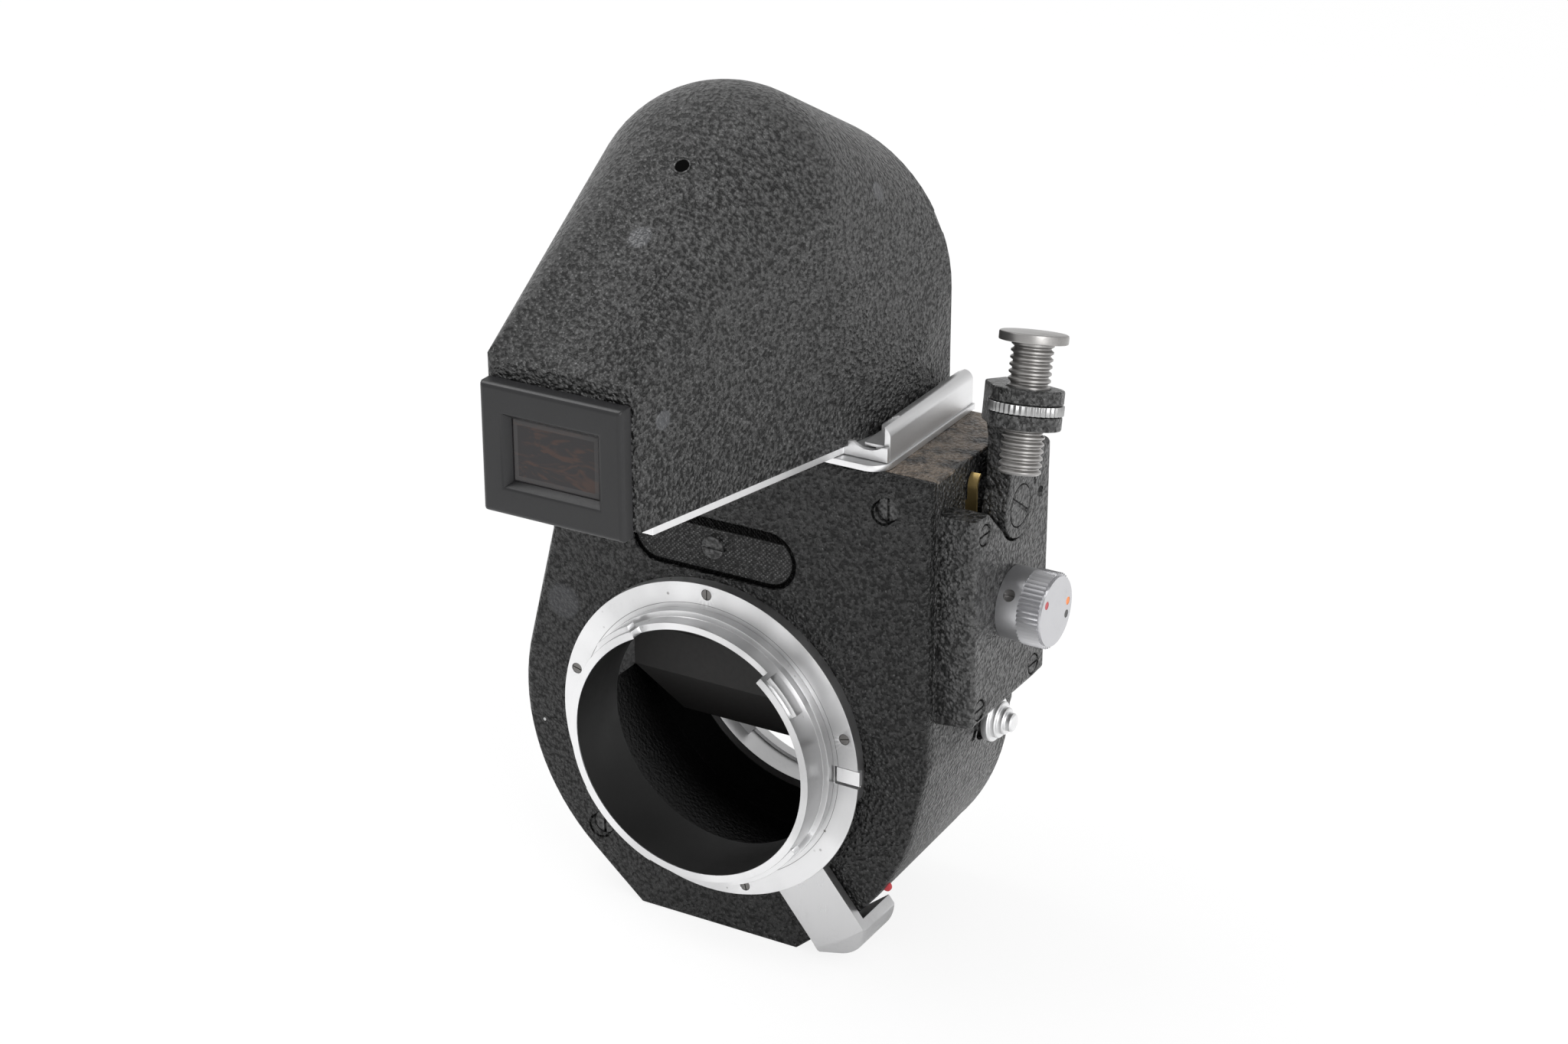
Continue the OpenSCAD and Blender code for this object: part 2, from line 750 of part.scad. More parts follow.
module mirror_frame() {
    back = mirror_drop + mirror_glass_t + mirror_back_t;
    pin_x = box_w / 2 + hinge_hole_l - 0.6;
    color("#3a2f28") at_mirror() union() {
        translate([0, 0, -back]) difference() {
            mirror_plan(0, back - mirror_drop);
            translate([0, 0, mirror_back_t]) mirror_plan(mirror_rim, back);
        }
        along_x(-mirror_w / 2, mirror_w / 2)
            polygon([[-1.1, -0.6], [1.2, 0.6], [mirror_root + mirror_rim, -mirror_drop],
                     [mirror_root, -back]]);
        along_x(-pin_x, pin_x) circle(mirror_pin_r, $fn = 32);
    }
}

module mirror_glass() {
    color("lightsteelblue") at_mirror()
        translate([0, 0, -mirror_drop - mirror_glass_t + mirror_gap])
            mirror_plan(mirror_rim + mirror_gap, mirror_glass_t - mirror_gap);
}

// ---- Ground glass and finder seat ----

module ground_glass() {
    color("gainsboro") translate([-view_w / 2 - glass_ledge + slide_gap,
                                  view_y - view_d / 2 - glass_ledge + slide_gap, top_z - glass_seat])
        cube([view_w + 2 * (glass_ledge - slide_gap), view_d + 2 * (glass_ledge - slide_gap),
              glass_t]);
}

// Ends of the seat, and the rails' faces: outside, beside the finder's foot and over it.
seat_y0 = flange_t + 0.4;
seat_y1 = block_y1;
rail_y0 = seam_y + 1;
rail_x = seat_x - 0.3;
foot_x = lip_x + 1.75;
lip_z = body_z + 0.3;

module finder_seat() {
    corner = 3;
    color(CHROME) difference() {
        union() {
            translate([-seat_x, seat_y0 + corner, top_z])
                cube([2 * seat_x, seat_y1 - seat_y0 - corner, seat_t]);
            translate([-seat_x + corner, seat_y0, top_z])
                cube([2 * (seat_x - corner), corner + 1, seat_t]);
            for (s = [-1, 1]) translate([s * (seat_x - corner), seat_y0 + corner, top_z])
                cylinder(r = corner, h = seat_t, $fn = 48);
        }
        translate([-view_w / 2 - 0.5, view_y - view_d / 2 - 0.5, top_z - CUT])
            cube([view_w + 1, view_d + 1, seat_t + 2 * CUT]);
        for (p = seat_screw_spots) translate([p.x, p.y, top_z]) {
            translate([0, 0, -CUT]) cylinder(r = seat_thread_r + hole_gap, h = 3, $fn = 24);
            translate([0, 0, seat_t - seat_head_t])
                cylinder(r = seat_head_r + hole_gap, h = CUT, $fn = 32);
        }
    }
}

// Two rails with lips that hold the finder's foot. A lip is cut back at the rear end.
module finder_rails() {
    top = seat_z + rail_h;
    round_r = 1.4;
    crest_drop = 0.6;
    lip_drop = 2;
    rear_wall = 1;
    rear_cut = [rail_y0 + 5, lip_z + 0.6];
    shoulder = [for (a = [0:15:90]) [rail_x - round_r * (1 - cos(a)), top - round_r * (1 - sin(a))]];
    color(CHROME) for (s = [-1, 1]) mirror([s < 0 ? 1 : 0, 0, 0]) difference() {
        along_y(rail_y0, rail_y0 + rail_l)
            polygon(concat([[foot_x + slide_gap, seat_z], [rail_x, seat_z]], shoulder,
                           [[foot_x - 0.1, top - crest_drop], [lip_x, top - lip_drop], [lip_x, lip_z],
                            [foot_x + slide_gap, lip_z]]));
        translate([lip_x - CUT, rail_y0 - CUT, rear_cut[1]])
            cube([rail_x - rear_wall - lip_x + CUT, rear_cut[0] - rail_y0 + CUT, rail_h]);
    }
}

seat_head_t = 0.55;
seat_head_r = 1.3;
seat_screw_l = 2.5;

module seat_screws() {
    color("gray") for (p = seat_screw_spots) translate([p.x, p.y, seat_z])
        rotate(35) slotted_screw(seat_head_r, seat_head_t, seat_thread_r, seat_screw_l);
}

// ---- Prism finder ----

// Right side of the base's outline, from the rear end to where it runs straight.
base_back_in = 3.5;
base_back = [12.2, tail_y + base_back_in];
base_mid = [21.5, 7.1];
base_front = [arch_r, 12];
base_round = 1.4;

// Outline of the finder's base, drawn in X and Y.
module base_outline(inset) {
    right = [[base_back.x - inset, base_back.y], [base_mid.x - inset, base_mid.y],
             [base_front.x - inset, base_front.y], [base_front.x - inset, arch_y - base_round],
             [base_front.x - inset - base_round, arch_y - inset]];
    left = [for (i = [len(right) - 1:-1:0]) [-right[i].x, right[i].y]];
    polygon(concat(right, left));
}

// The foot ends in two scooped blocks that close the rails' rear ends.
module finder_base() {
    block_y0 = rail_y0 - 0.8;
    block_x0 = base_mid.x;
    block_h = 2.3;
    scoop_r = 4;
    scoop_depth = 0.8;
    color(CHROME) translate([0, 0, base_z]) difference() {
        union() {
            linear_extrude(base_t) base_outline(0);
            translate([-foot_x, block_y0, 0])
                cube([2 * foot_x, rail_y0 + rail_l - 0.3 - block_y0, base_t]);
            for (s = [-1, 1]) mirror([s < 0 ? 1 : 0, 0, 0]) translate([block_x0, block_y0, 0])
                cube([rail_x - block_x0, rail_y0 - slide_gap - block_y0, block_h]);
        }
        translate([-view_w / 2, view_y - view_d / 2, -CUT])
            cube([view_w, view_d, base_t + 2 * CUT]);
        for (s = [-1, 1]) translate([s * (block_x0 + rail_x) / 2, 0, block_h + scoop_r - scoop_depth])
            along_y(block_y0 - CUT, rail_y0) circle(scoop_r, $fn = 64);
    }
}

// The prism housing's outer form, or its inner form with an inset.
module prism_form(inset, bottom, facets) {
    r = arch_r - inset;
    front = arch_y - inset;
    hull() {
        translate([0, 6.3, dome_z]) sphere(r = dome_r - inset, $fn = facets);
        slice(front - base_round) arch(r, bottom, facets);
        slice(front) arch(r - base_round, bottom, facets);
        translate([-tail_x + inset, tail_y + inset, bottom])
            cube([2 * (tail_x - inset), EPS, tail_z - inset - bottom]);
        translate([0, 0, bottom]) linear_extrude(EPS) base_outline(inset);
    }
}

// The front arch's outline above the finder's base.
module arch(r, bottom, facets) {
    intersection() {
        translate([0, arch_z]) circle(r, $fn = facets);
        translate([-r, bottom]) square([2 * r, 2 * r + arch_z - bottom]);
    }
    translate([-r, bottom]) square([2 * r, arch_z - bottom]);
}

// The eyepiece: drop below the tail's top, its neck inside the tail, its window's seat.
eye_drop = 2.5;
eye_z = tail_z - eye_drop - eye_h / 2;
eye_neck = [eye_w - 5, eye_h - 4.8];
eye_neck_l = 3;
window_lip = 0.8;
window_seat = 1.4;
// A blind hole low on the prism housing's top.
dome_hole = [0, -5, 92.6];
dome_hole_r = 0.75;
dome_hole_l = 2;

module prism_housing() {
    color(ENAMEL) difference() {
        prism_form(0, body_z, 64);
        prism_form(finder_wall, body_z - 1, 40);
        translate([0, 0, eye_z]) along_y(tail_y - CUT, tail_y + eye_neck_l + CUT)
            square(eye_neck, center = true);
        translate(dome_hole) rotate([45, 0, 0])
            cylinder(r = dome_hole_r, h = dome_hole_l, center = true, $fn = 24);
    }
}

module eyepiece_surround() {
    face = tail_y - eye_d;
    edge = 0.5;
    slope_d = 1.2;
    slope_w = 0.9;
    window = [window_w, window_h];
    seat = window + 2 * [window_lip, window_lip];
    color("#1c1c1c") difference() {
        union() {
            translate([0, 0, eye_z]) hull() {
                slice(face) square([eye_w - 2 * edge, eye_h - 2 * edge], center = true);
                slice(face + edge) square([eye_w, eye_h], center = true);
                slice(tail_y - EPS / 2) square([eye_w, eye_h], center = true);
            }
            translate([0, 0, eye_z]) along_y(tail_y - EPS, tail_y + eye_neck_l)
                square(eye_neck, center = true);
        }
        translate([0, 0, eye_z]) {
            hull() {
                slice(face - EPS) square(window + 2 * [slope_w, slope_w], center = true);
                slice(face + slope_d) square(window, center = true);
            }
            along_y(face, face + window_seat + EPS) square(window, center = true);
            along_y(face + window_seat, tail_y + eye_neck_l + CUT) square(seat, center = true);
        }
    }
}

module eyepiece_window() {
    seat = [window_w + 2 * window_lip, window_h + 2 * window_lip];
    color("lightsteelblue") translate([0, 0, eye_z])
        along_y(tail_y - eye_d + window_seat, tail_y - slide_gap) square(seat, center = true);
}

// The roof prism over the ground glass.
module prism_glass() {
    gap = finder_wall + 1.5;
    base = [34, 24];
    base_back = 11;
    front_in = 3;
    roof_y = 4;
    roof_l = 8;
    roof_up = 12;
    rear = [18, 14];
    rear_y = -8;
    rear_drop = 6;
    color("gainsboro") hull() {
        translate([-base.x / 2, view_y - base_back, body_z]) cube([base.x, base.y, EPS]);
        slice(arch_y - gap) translate([0, arch_z + 2]) circle(arch_r - gap - front_in, $fn = 6);
        translate([0, roof_y, dome_z + roof_up]) cube([EPS, roof_l, EPS]);
        translate([-rear.x / 2, rear_y, eye_z - rear_drop]) cube([rear.x, EPS, rear.y]);
    }
}

// ---- Side cover ----

case_x1 = side_x + case_t;
// Spots of the side cover's screws in Y and Z, and how deep they run into the side.
case_screw_spots = [[8, case_step_z - 3], [case_y1 - 3.9, case_z0 + 2.3], [7.6, case_z0 + 2.4]];
case_hole_l = 4;
case_head_r = 1.45;
case_head_t = 0.75;
case_sink = 0.15;
notch_r = arm_end_r + 0.35;

module side_cover() {
    round_r = 1;
    step_y = 9;
    far_y = 10;
    dimple_at = [0.4, -3.5, -2.9];
    dimple_r = 1;
    color(ENAMEL) difference() {
        hull() {
            along_x(side_x, side_x + EPS)
                translate([case_y0, case_z0]) square([case_y1 - case_y0, case_z1 - case_z0]);
            for (y = [case_y0 + round_r, case_y1 - round_r], z = [case_z0 + round_r, case_z1 - round_r])
                translate([case_x1 - round_r, y, z]) sphere(r = round_r, $fn = 24);
        }
        along_x(side_x - CUT, case_x1 + CUT) {
            translate([pivot_y, pivot_z]) circle(notch_r, $fn = 64);
            polygon([[-far_y, case_step_z], [step_y, case_step_z], [step_y + 0.6, case_step_z - 0.6],
                     [pivot_y - notch_r * cos(30), pivot_z - notch_r * sin(30)],
                     [pivot_y + notch_r, pivot_z], [pivot_y + notch_r, 2 * case_z1],
                     [-far_y, 2 * case_z1]]);
        }
        for (p = case_screw_spots) translate([0, p.x, p.y]) {
            along_x(case_x1 - case_sink - case_head_t, case_x1 + CUT)
                circle(case_head_r + 0.2, $fn = 40);
            along_x(side_x - CUT, case_x1) circle(case_thread_r + hole_gap, $fn = 24);
        }
        translate([0, dial_y, dial_z]) along_x(side_x - CUT, case_x1 + CUT)
            circle(dial_shaft_r + 0.3, $fn = 40);
        translate([case_x1, case_y1, case_step_z] + dimple_at) sphere(r = dimple_r, $fn = 24);
    }
}

module side_cover_screws() {
    color("gray") for (p = case_screw_spots) translate([case_x1 - case_sink, p.x, p.y])
        rotate([0, 90, 0]) rotate(90)
            slotted_screw(case_head_r, case_head_t, case_thread_r, case_t + case_hole_l - 1);
}

// ---- Release arm and plunger ----

// The leaf spring: thickness, width, length of its foot and of its straight part.
leaf_t = 0.4;
leaf_w = 1.5;
leaf_foot = 3;
leaf_l = 5;
leaf_in = 1.2;
leaf_y = pivot_y - 5.9;
leaf_z0 = pivot_z - 1.2;

// Slot in the housing that holds the spring's foot.
module leaf_slot() {
    translate([side_x - leaf_in, leaf_y, leaf_z0]) cube([2 * leaf_in, leaf_t, leaf_foot]);
}

module leaf_spring() {
    bend_r = 2.4;
    leaf_x0 = side_x + 0.3;
    color("goldenrod") union() {
        translate([side_x - leaf_in, leaf_y, leaf_z0])
            cube([leaf_x0 + 0.2 - side_x + leaf_in, leaf_t, leaf_foot]);
        translate([leaf_x0, leaf_y, leaf_z0]) cube([leaf_w, leaf_t, leaf_l]);
        translate([0, leaf_y + bend_r, leaf_z0 + leaf_l]) along_x(leaf_x0, leaf_x0 + leaf_w)
            intersection() {
                difference() {
                    circle(bend_r);
                    circle(bend_r - leaf_t);
                }
                sector(2 * bend_r, 120, 181);
            }
    }
}

// Places children on the plunger's axis, with +Z up along it.
module at_plunger() {
    translate([nut_x, nut_y, nut_z]) rotate([-lean_forward, -lean_in, 0]) children();
}

// Plan of a prong: a round end joined by tangents to the arm's plate.
module prong_plan() {
    r = nut_r - 0.2;
    rear = [-plunger_x, 2.9];
    front = [-plunger_x + arm_t, 9.2];
    circle(r, $fn = 64);
    polygon([touch(rear, r, 1), rear, [rear.x, front.y], front, touch(front, r, -1)]);
}

module release_arm() {
    half_slot = nut_t / 2 + 0.08;
    head_half = half_slot + prong_t;
    color(ENAMEL) difference() {
        union() {
            along_x(arm_x0, arm_x1) {
                translate([pivot_y, pivot_z]) circle(arm_end_r, $fn = 64);
                polygon([[pivot_y - arm_end_r, pivot_z], [pivot_y - 3.7, pivot_z + 4],
                         [pivot_y - 3.5, pivot_z + 12.4], [nut_y + 3.4, nut_z - 2.4],
                         [nut_y + 9, nut_z - 3.4], [pivot_y + arm_end_r, pivot_z]]);
            }
            at_plunger() translate([0, 0, -head_half]) linear_extrude(2 * head_half) prong_plan();
        }
        at_plunger() {
            translate([0, 0, -half_slot]) cylinder(r = nut_r + 0.15, h = 2 * half_slot, $fn = 64);
            translate([0, 0, -2 * rod_down]) cylinder(r = rod_r + 0.1, h = 4 * rod_down, $fn = 48);
        }
        translate([0, pivot_y, pivot_z]) {
            along_x(arm_x0 - CUT, arm_x1) circle(pivot_r + run_gap, $fn = 48);
            along_x(arm_x1 - 1 - 2 * run_gap, arm_x1 + CUT)
                circle(pivot_head_r + 2 * run_gap, $fn = 48);
        }
    }
}

module pivot_screw() {
    head_t = 1;
    color(ENAMEL) translate([0, pivot_y, pivot_z]) difference() {
        union() {
            along_x(side_x - pivot_hole_l + 0.5, side_x) circle(pivot_thread_r, $fn = 32);
            along_x(side_x, arm_x1 - head_t) circle(pivot_r, $fn = 48);
            along_x(arm_x1 - head_t - run_gap, arm_x1 - run_gap) circle(pivot_head_r, $fn = 48);
        }
        rotate([-35, 0, 0]) translate([arm_x1 - 0.5, -5, -0.3]) cube([1, 10, 0.6]);
    }
}

// A toothed disc for knurls.
module knurl(r, depth, count) {
    points = [for (i = [0:count - 1], k = [0, 1])
        let(a = 360 / count * (i + k * 0.5)) (r - k * depth) * [cos(a), sin(a)]];
    polygon(points);
}

module knurled_nut() {
    color(CHROME) at_plunger() translate([0, 0, -nut_t / 2]) linear_extrude(nut_t) difference() {
        knurl(nut_r, 0.3, nut_knurls);
        circle(rod_r + run_gap, $fn = 48);
    }
}

module plunger_rod() {
    color(CHROME) at_plunger() union() {
        translate([0, 0, -rod_down]) cylinder(r = rod_r, h = rod_down + rod_up + EPS, $fn = 64);
        translate([0, 0, rod_up]) cylinder(r = disc_r, h = disc_t, $fn = 64);
    }
}

// ---- Mode dial ----

dial_x0 = case_x1 + run_gap;
dial_x1 = dial_x0 + collar_l;
dial_x2 = dial_x1 + grip_l;
// The dots on the dial's face, and the set screw in its collar.
dot_r = 0.62;
dot_angles = [145, 2, -27];
dot_circle = 3.95;
dot_sink = 0.05;
dot_depth = 0.3;
set_angle = 145;
set_r = 0.95;
// How deep the shaft sits in the dial.
shaft_in = 4;

module at_dial() {
    translate([0, dial_y, dial_z]) children();
}

module mode_dial() {
    color(CHROME) difference() {
        at_dial() {
            along_x(dial_x0, dial_x1) circle(collar_r, $fn = 96);
            along_x(dial_x1, dial_x2 - 0.4) knurl(grip_r, 0.4, grip_grooves);
            along_x(dial_x2 - 0.4 - EPS, dial_x2) circle(grip_r - 0.45, $fn = 96);
        }
        at_dial() along_x(dial_x0 - CUT, dial_x0 + shaft_in) circle(dial_shaft_r, $fn = 32);
        at_set_screw() cylinder(r = set_r, h = collar_r + CUT, $fn = 32);
        for (a = dot_angles) at_dial() along_x(dial_x2 - dot_depth, dial_x2 + CUT)
            translate(dot_circle * [cos(a), sin(a)]) circle(dot_r, $fn = 32);
    }
}

// Places children in the dial's collar, with +Z out through its wall.
module at_set_screw() {
    at_dial() rotate([set_angle - 180, 0, 0]) translate([dial_x0 + collar_l / 2, 0, 0])
        rotate([90, 0, 0]) children();
}

module dial_shaft() {
    color("gray") at_dial() along_x(side_x - dial_hole_l + 0.4, dial_x0 + shaft_in)
        circle(dial_shaft_r, $fn = 32);
}

module dial_set_screw() {
    slot_w = 0.28;
    slot_z = collar_r - 1.2;
    color("gray") at_set_screw() difference() {
        translate([0, 0, dial_shaft_r + 0.05]) cylinder(r = set_r, h = 2.7, $fn = 32);
        translate([-set_r - EPS, -slot_w / 2, slot_z]) cube([2 * (set_r + EPS), slot_w, CUT]);
    }
}

module dial_dot(i) {
    at_dial() along_x(dial_x2 - dot_depth, dial_x2 - dot_sink)
        translate(dot_circle * [cos(dot_angles[i]), sin(dot_angles[i])]) circle(dot_r, $fn = 32);
}

module dot_red() {
    color("crimson") dial_dot(0);
}

module dot_orange() {
    color("orange") dial_dot(1);
}

module dot_black() {
    color("black") dial_dot(2);
}

// ---- Lens lock button ----

button_rings = 4;
button_x0 = side_x + 0.3;

module lock_button() {
    color(CHROME) translate([0, button_y, button_z])
        for (i = [0:button_rings - 1])
            along_x(button_x0 + i * button_step_h - (i > 0 ? EPS : 0), button_x0 + (i + 1) * button_step_h)
                circle(button_r - i * button_step_r, $fn = 64);
}

module lock_pin() {
    color("gray") translate([0, button_y, button_z]) along_x(side_x - button_hole_l + 2, button_x0)
        circle(button_pin_r, $fn = 32);
}

main_shell();
rear_cover();
cover_screws();
name_plate();
name_plate_screw();
rear_flange();
bayonet_tube();
retaining_ring();
flange_screws();
lock_key();
release_lever();
front_ring();
front_ring_screws();
mirror_frame();
mirror_glass();
ground_glass();
finder_seat();
finder_rails();
seat_screws();
finder_base();
prism_housing();
eyepiece_surround();
eyepiece_window();
prism_glass();
side_cover();
side_cover_screws();
leaf_spring();
release_arm();
pivot_screw();
knurled_nut();
plunger_rod();
mode_dial();
dial_shaft();
dial_set_screw();
dot_red();
dot_orange();
dot_black();
lock_button();
lock_pin();
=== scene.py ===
import json
import math

import bmesh
import bpy
import numpy as np
from mathutils import Matrix, Vector
from mathutils.bvhtree import BVHTree
from mathutils.kdtree import KDTree

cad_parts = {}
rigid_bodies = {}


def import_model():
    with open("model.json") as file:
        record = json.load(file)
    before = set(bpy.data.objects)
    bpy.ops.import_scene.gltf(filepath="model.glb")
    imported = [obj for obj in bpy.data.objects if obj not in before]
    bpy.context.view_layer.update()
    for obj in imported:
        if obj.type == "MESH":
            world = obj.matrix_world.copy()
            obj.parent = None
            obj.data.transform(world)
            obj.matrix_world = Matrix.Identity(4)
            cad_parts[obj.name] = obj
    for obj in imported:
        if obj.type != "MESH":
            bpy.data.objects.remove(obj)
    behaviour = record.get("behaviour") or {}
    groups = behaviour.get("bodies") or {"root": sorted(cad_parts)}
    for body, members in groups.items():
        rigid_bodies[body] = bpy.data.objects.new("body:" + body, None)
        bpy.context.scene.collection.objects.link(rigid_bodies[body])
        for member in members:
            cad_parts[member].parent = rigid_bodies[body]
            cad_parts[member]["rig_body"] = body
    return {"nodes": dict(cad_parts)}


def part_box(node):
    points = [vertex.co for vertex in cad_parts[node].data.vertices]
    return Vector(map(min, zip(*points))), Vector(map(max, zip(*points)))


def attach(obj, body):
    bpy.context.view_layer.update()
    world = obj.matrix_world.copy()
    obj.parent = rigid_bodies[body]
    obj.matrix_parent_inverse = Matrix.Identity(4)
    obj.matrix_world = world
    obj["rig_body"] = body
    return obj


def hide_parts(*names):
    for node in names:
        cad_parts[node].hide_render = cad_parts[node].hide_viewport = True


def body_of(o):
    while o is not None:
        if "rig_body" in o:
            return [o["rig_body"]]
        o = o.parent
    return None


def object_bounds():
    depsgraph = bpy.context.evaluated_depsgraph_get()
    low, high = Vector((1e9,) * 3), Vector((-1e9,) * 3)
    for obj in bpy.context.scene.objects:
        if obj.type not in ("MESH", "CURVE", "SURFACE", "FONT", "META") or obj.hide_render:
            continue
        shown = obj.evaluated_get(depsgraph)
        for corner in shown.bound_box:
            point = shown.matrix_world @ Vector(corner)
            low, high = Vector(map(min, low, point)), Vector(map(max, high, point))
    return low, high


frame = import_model()
nodes = frame["nodes"]
cadLow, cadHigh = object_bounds()
mm = 0.001
print("frame loaded:", len(nodes), "nodes")

camera = {
    "place": (0.23213, -0.37779, 0.23577),
    "azimuth": 30.071,  # degrees to the right of straight behind
    "elevation": 24.226,
    "roll": -0.074,
    "lens": 75.78,
    "sensor": 36.0,
    "shiftX": 0.0,
    "shiftY": 0.0,
}

photoWide, photoHigh = 1568, 1044
imagePoints = {
    "leftEdge": (477.6, None),
    "rightEdge": (1073.3, None),
    "topEdge": (None, 78.9),
    "bottomEdge": (None, 957.4),
    "eyeWindow": (555.2, 461.5),
    "domeHole": (682.1, 166.0),
    "upperScrew": (886.8, 510.5),
    "plateScrew": (716.0, 550.3),
    "lowerScrew": (603.7, 823.0),
    "pivotScrew": (1021.8, 507.2),
    "plungerDisc": (1035.0, 336.0),
    "dialFace": (1057.1, 612.5),
    "buttonCap": (1015.6, 722.7),
    "patchLeft": (639.9, 237.0),
    "patchRight": (878.3, 191.3),
    "patchLow": (663.8, 419.9),
    "patchCover": (563.2, 601.4),
    "paintChip": (544.8, 719.1),
    "indexDot": (886.6, 886.6),
}


def middleOf(node):  # the middle of a CAD node's box
    low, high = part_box(node)
    return (low + high) / 2


def buildCamera():
    azimuth, elevation = math.radians(camera["azimuth"]), math.radians(camera["elevation"])
    level = math.cos(elevation)
    back = Vector((math.sin(azimuth) * level, -math.cos(azimuth) * level, math.sin(elevation)))
    right = Vector((math.cos(azimuth), math.sin(azimuth), 0))
    up = back.cross(right)
    turn = Matrix.Rotation(math.radians(camera["roll"]), 3, back)
    right, up = turn @ right, turn @ up
    data = bpy.data.cameras.new("viewCamera")
    data.sensor_fit = "AUTO"
    data.sensor_width, data.lens = camera["sensor"], camera["lens"]
    data.shift_x, data.shift_y = camera["shiftX"], camera["shiftY"]
    data.clip_start, data.clip_end = 0.01, 20
    made = bpy.data.objects.new("viewCamera", data)
    bpy.context.scene.collection.objects.link(made)
    made.matrix_world = Matrix.Translation(camera["place"]) @ Matrix((right, up, back)).transposed().to_4x4()
    bpy.context.scene.camera = made
    bpy.context.view_layer.update()
    return made


viewCamera = buildCamera()
longSide = max(photoWide, photoHigh)


def pointRay(point):  # from the camera through an image point
    x, y = point
    ray = Vector((
        x - photoWide / 2 + camera["shiftX"] * longSide,
        photoHigh / 2 - y + camera["shiftY"] * longSide,
        -longSide * camera["lens"] / camera["sensor"],
    ))
    turn = viewCamera.matrix_world.to_3x3()
    return viewCamera.matrix_world.translation, (turn @ ray).normalized()


def imagePlace(points):  # where places in space show in the frame of the image points
    seen = np.array(viewCamera.matrix_world.inverted())
    local = np.c_[points, np.ones(len(points))] @ seen.T
    scale = longSide * camera["lens"] / camera["sensor"]
    x = photoWide / 2 - camera["shiftX"] * longSide - local[:, 0] / local[:, 2] * scale
    y = photoHigh / 2 + camera["shiftY"] * longSide + local[:, 1] / local[:, 2] * scale
    return np.c_[x, y]


def treeOf(*pieces):  # what carries small pieces, as finished and placed
    shown = bpy.context.evaluated_depsgraph_get()
    joined = bmesh.new()
    for piece in pieces:
        joined.from_mesh(piece.evaluated_get(shown).to_mesh())
    tree = BVHTree.FromBMesh(joined)
    joined.free()
    return tree


def onSurface(name, tree):  # the place and normal where an image point meets the surface
    start, ray = pointRay(imagePoints[name])
    place, normal, _, _ = tree.ray_cast(start, ray)
    if place is None:
        far = ((Vector(cadLow) + Vector(cadHigh)) / 2 - start).length
        place, normal, _, _ = tree.find_nearest(start + ray * far)
    return place, normal


class Wire:  # a shader socket that takes part in formulas
    def __init__(self, tree, socket=None):
        self.tree = tree
        self.socket = socket

    def node(self, kind, settings=None, values=None, out=0):
        made = self.tree.nodes.new(kind)
        for key, value in (settings or {}).items():
            setattr(made, key, value)
        for key, value in (values or {}).items():
            if isinstance(value, Wire):
                self.tree.links.new(value.socket, made.inputs[key])
            else:
                made.inputs[key].default_value = value
        return Wire(self.tree, made.outputs[out] if made.outputs else None)

    def math(self, how, *values):
        return self.node("ShaderNodeMath", {"operation": how}, dict(enumerate(values)))

    def vector(self, how, *values, out=0):
        return self.node("ShaderNodeVectorMath", {"operation": how}, dict(enumerate(values)), out)

    def blend(self, factor, low, high):  # mixes two colours
        return self.node("ShaderNodeMix", {"data_type": "RGBA"}, {0: factor, 6: low, 7: high}, 2)

    def __add__(self, other):
        return self.math("ADD", self, other)

    def __radd__(self, other):
        return self.math("ADD", other, self)

    def __sub__(self, other):
        return self.math("SUBTRACT", self, other)

    def __rsub__(self, other):
        return self.math("SUBTRACT", other, self)

    def __mul__(self, other):
        return self.math("MULTIPLY", self, other)

    def __rmul__(self, other):
        return self.math("MULTIPLY", other, self)

    def __truediv__(self, other):
        return self.math("DIVIDE", self, other)

    def __pow__(self, other):
        return self.math("POWER", self, other)

    def __abs__(self):
        return self.math("ABSOLUTE", self)

    def __gt__(self, other):
        return self.math("GREATER_THAN", self, other)

    def __lt__(self, other):
        return self.math("LESS_THAN", self, other)

    def axis(self, letter):
        return self.node("ShaderNodeSeparateXYZ", None, {"Vector": self}, letter)

    def step(self, low, high):  # 0 at low and 1 at high, eased
        return self.node(
            "ShaderNodeMapRange",
            {"interpolation_type": "SMOOTHSTEP"},
            {"Value": self, "From Min": low, "From Max": high},
        )

    def noise(self, scale, detail=2.0, rough=0.5, twist=0.0):
        return self.node(
            "ShaderNodeTexNoise",
            None,
            {"Vector": self, "Scale": scale, "Detail": detail, "Roughness": rough, "Distortion": twist},
        )

    def cells(self, scale):
        return self.node("ShaderNodeTexVoronoi", {"feature": "F1"}, {"Vector": self, "Scale": scale})


def grey(value):
    return (value, value, value, 1)


def tinted(tint, share=1.0):  # a colour made darker or lighter, with its alpha
    return tuple(share * part for part in tint) + (1,)


def newMaterial(name):  # an empty material and its object coordinates
    made = bpy.data.materials.new(name)
    made.use_nodes = True
    made.node_tree.nodes.clear()
    place = Wire(made.node_tree).node("ShaderNodeTexCoord", out="Object")
    return made, place


def finishMaterial(made, place, **sockets):  # the closing shader; names as on its panel
    names = {"color": "Base Color", "rough": "Roughness", "metal": "Metallic", "normal": "Normal",
             "coat": "Coat Weight", "coatRough": "Coat Roughness", "specular": "Specular IOR Level"}
    values = {names[key]: value for key, value in sockets.items()}
    shader = place.node("ShaderNodeBsdfPrincipled", None, values)
    place.node("ShaderNodeOutputMaterial", None, {"Surface": shader})
    return made


def bumpOf(place, height, strength, distance):
    return place.node("ShaderNodeBump", None, {"Height": height, "Strength": strength, "Distance": distance})


def distanceTo(place, centre):
    return place.vector("DISTANCE", place, tuple(centre), out="Value")


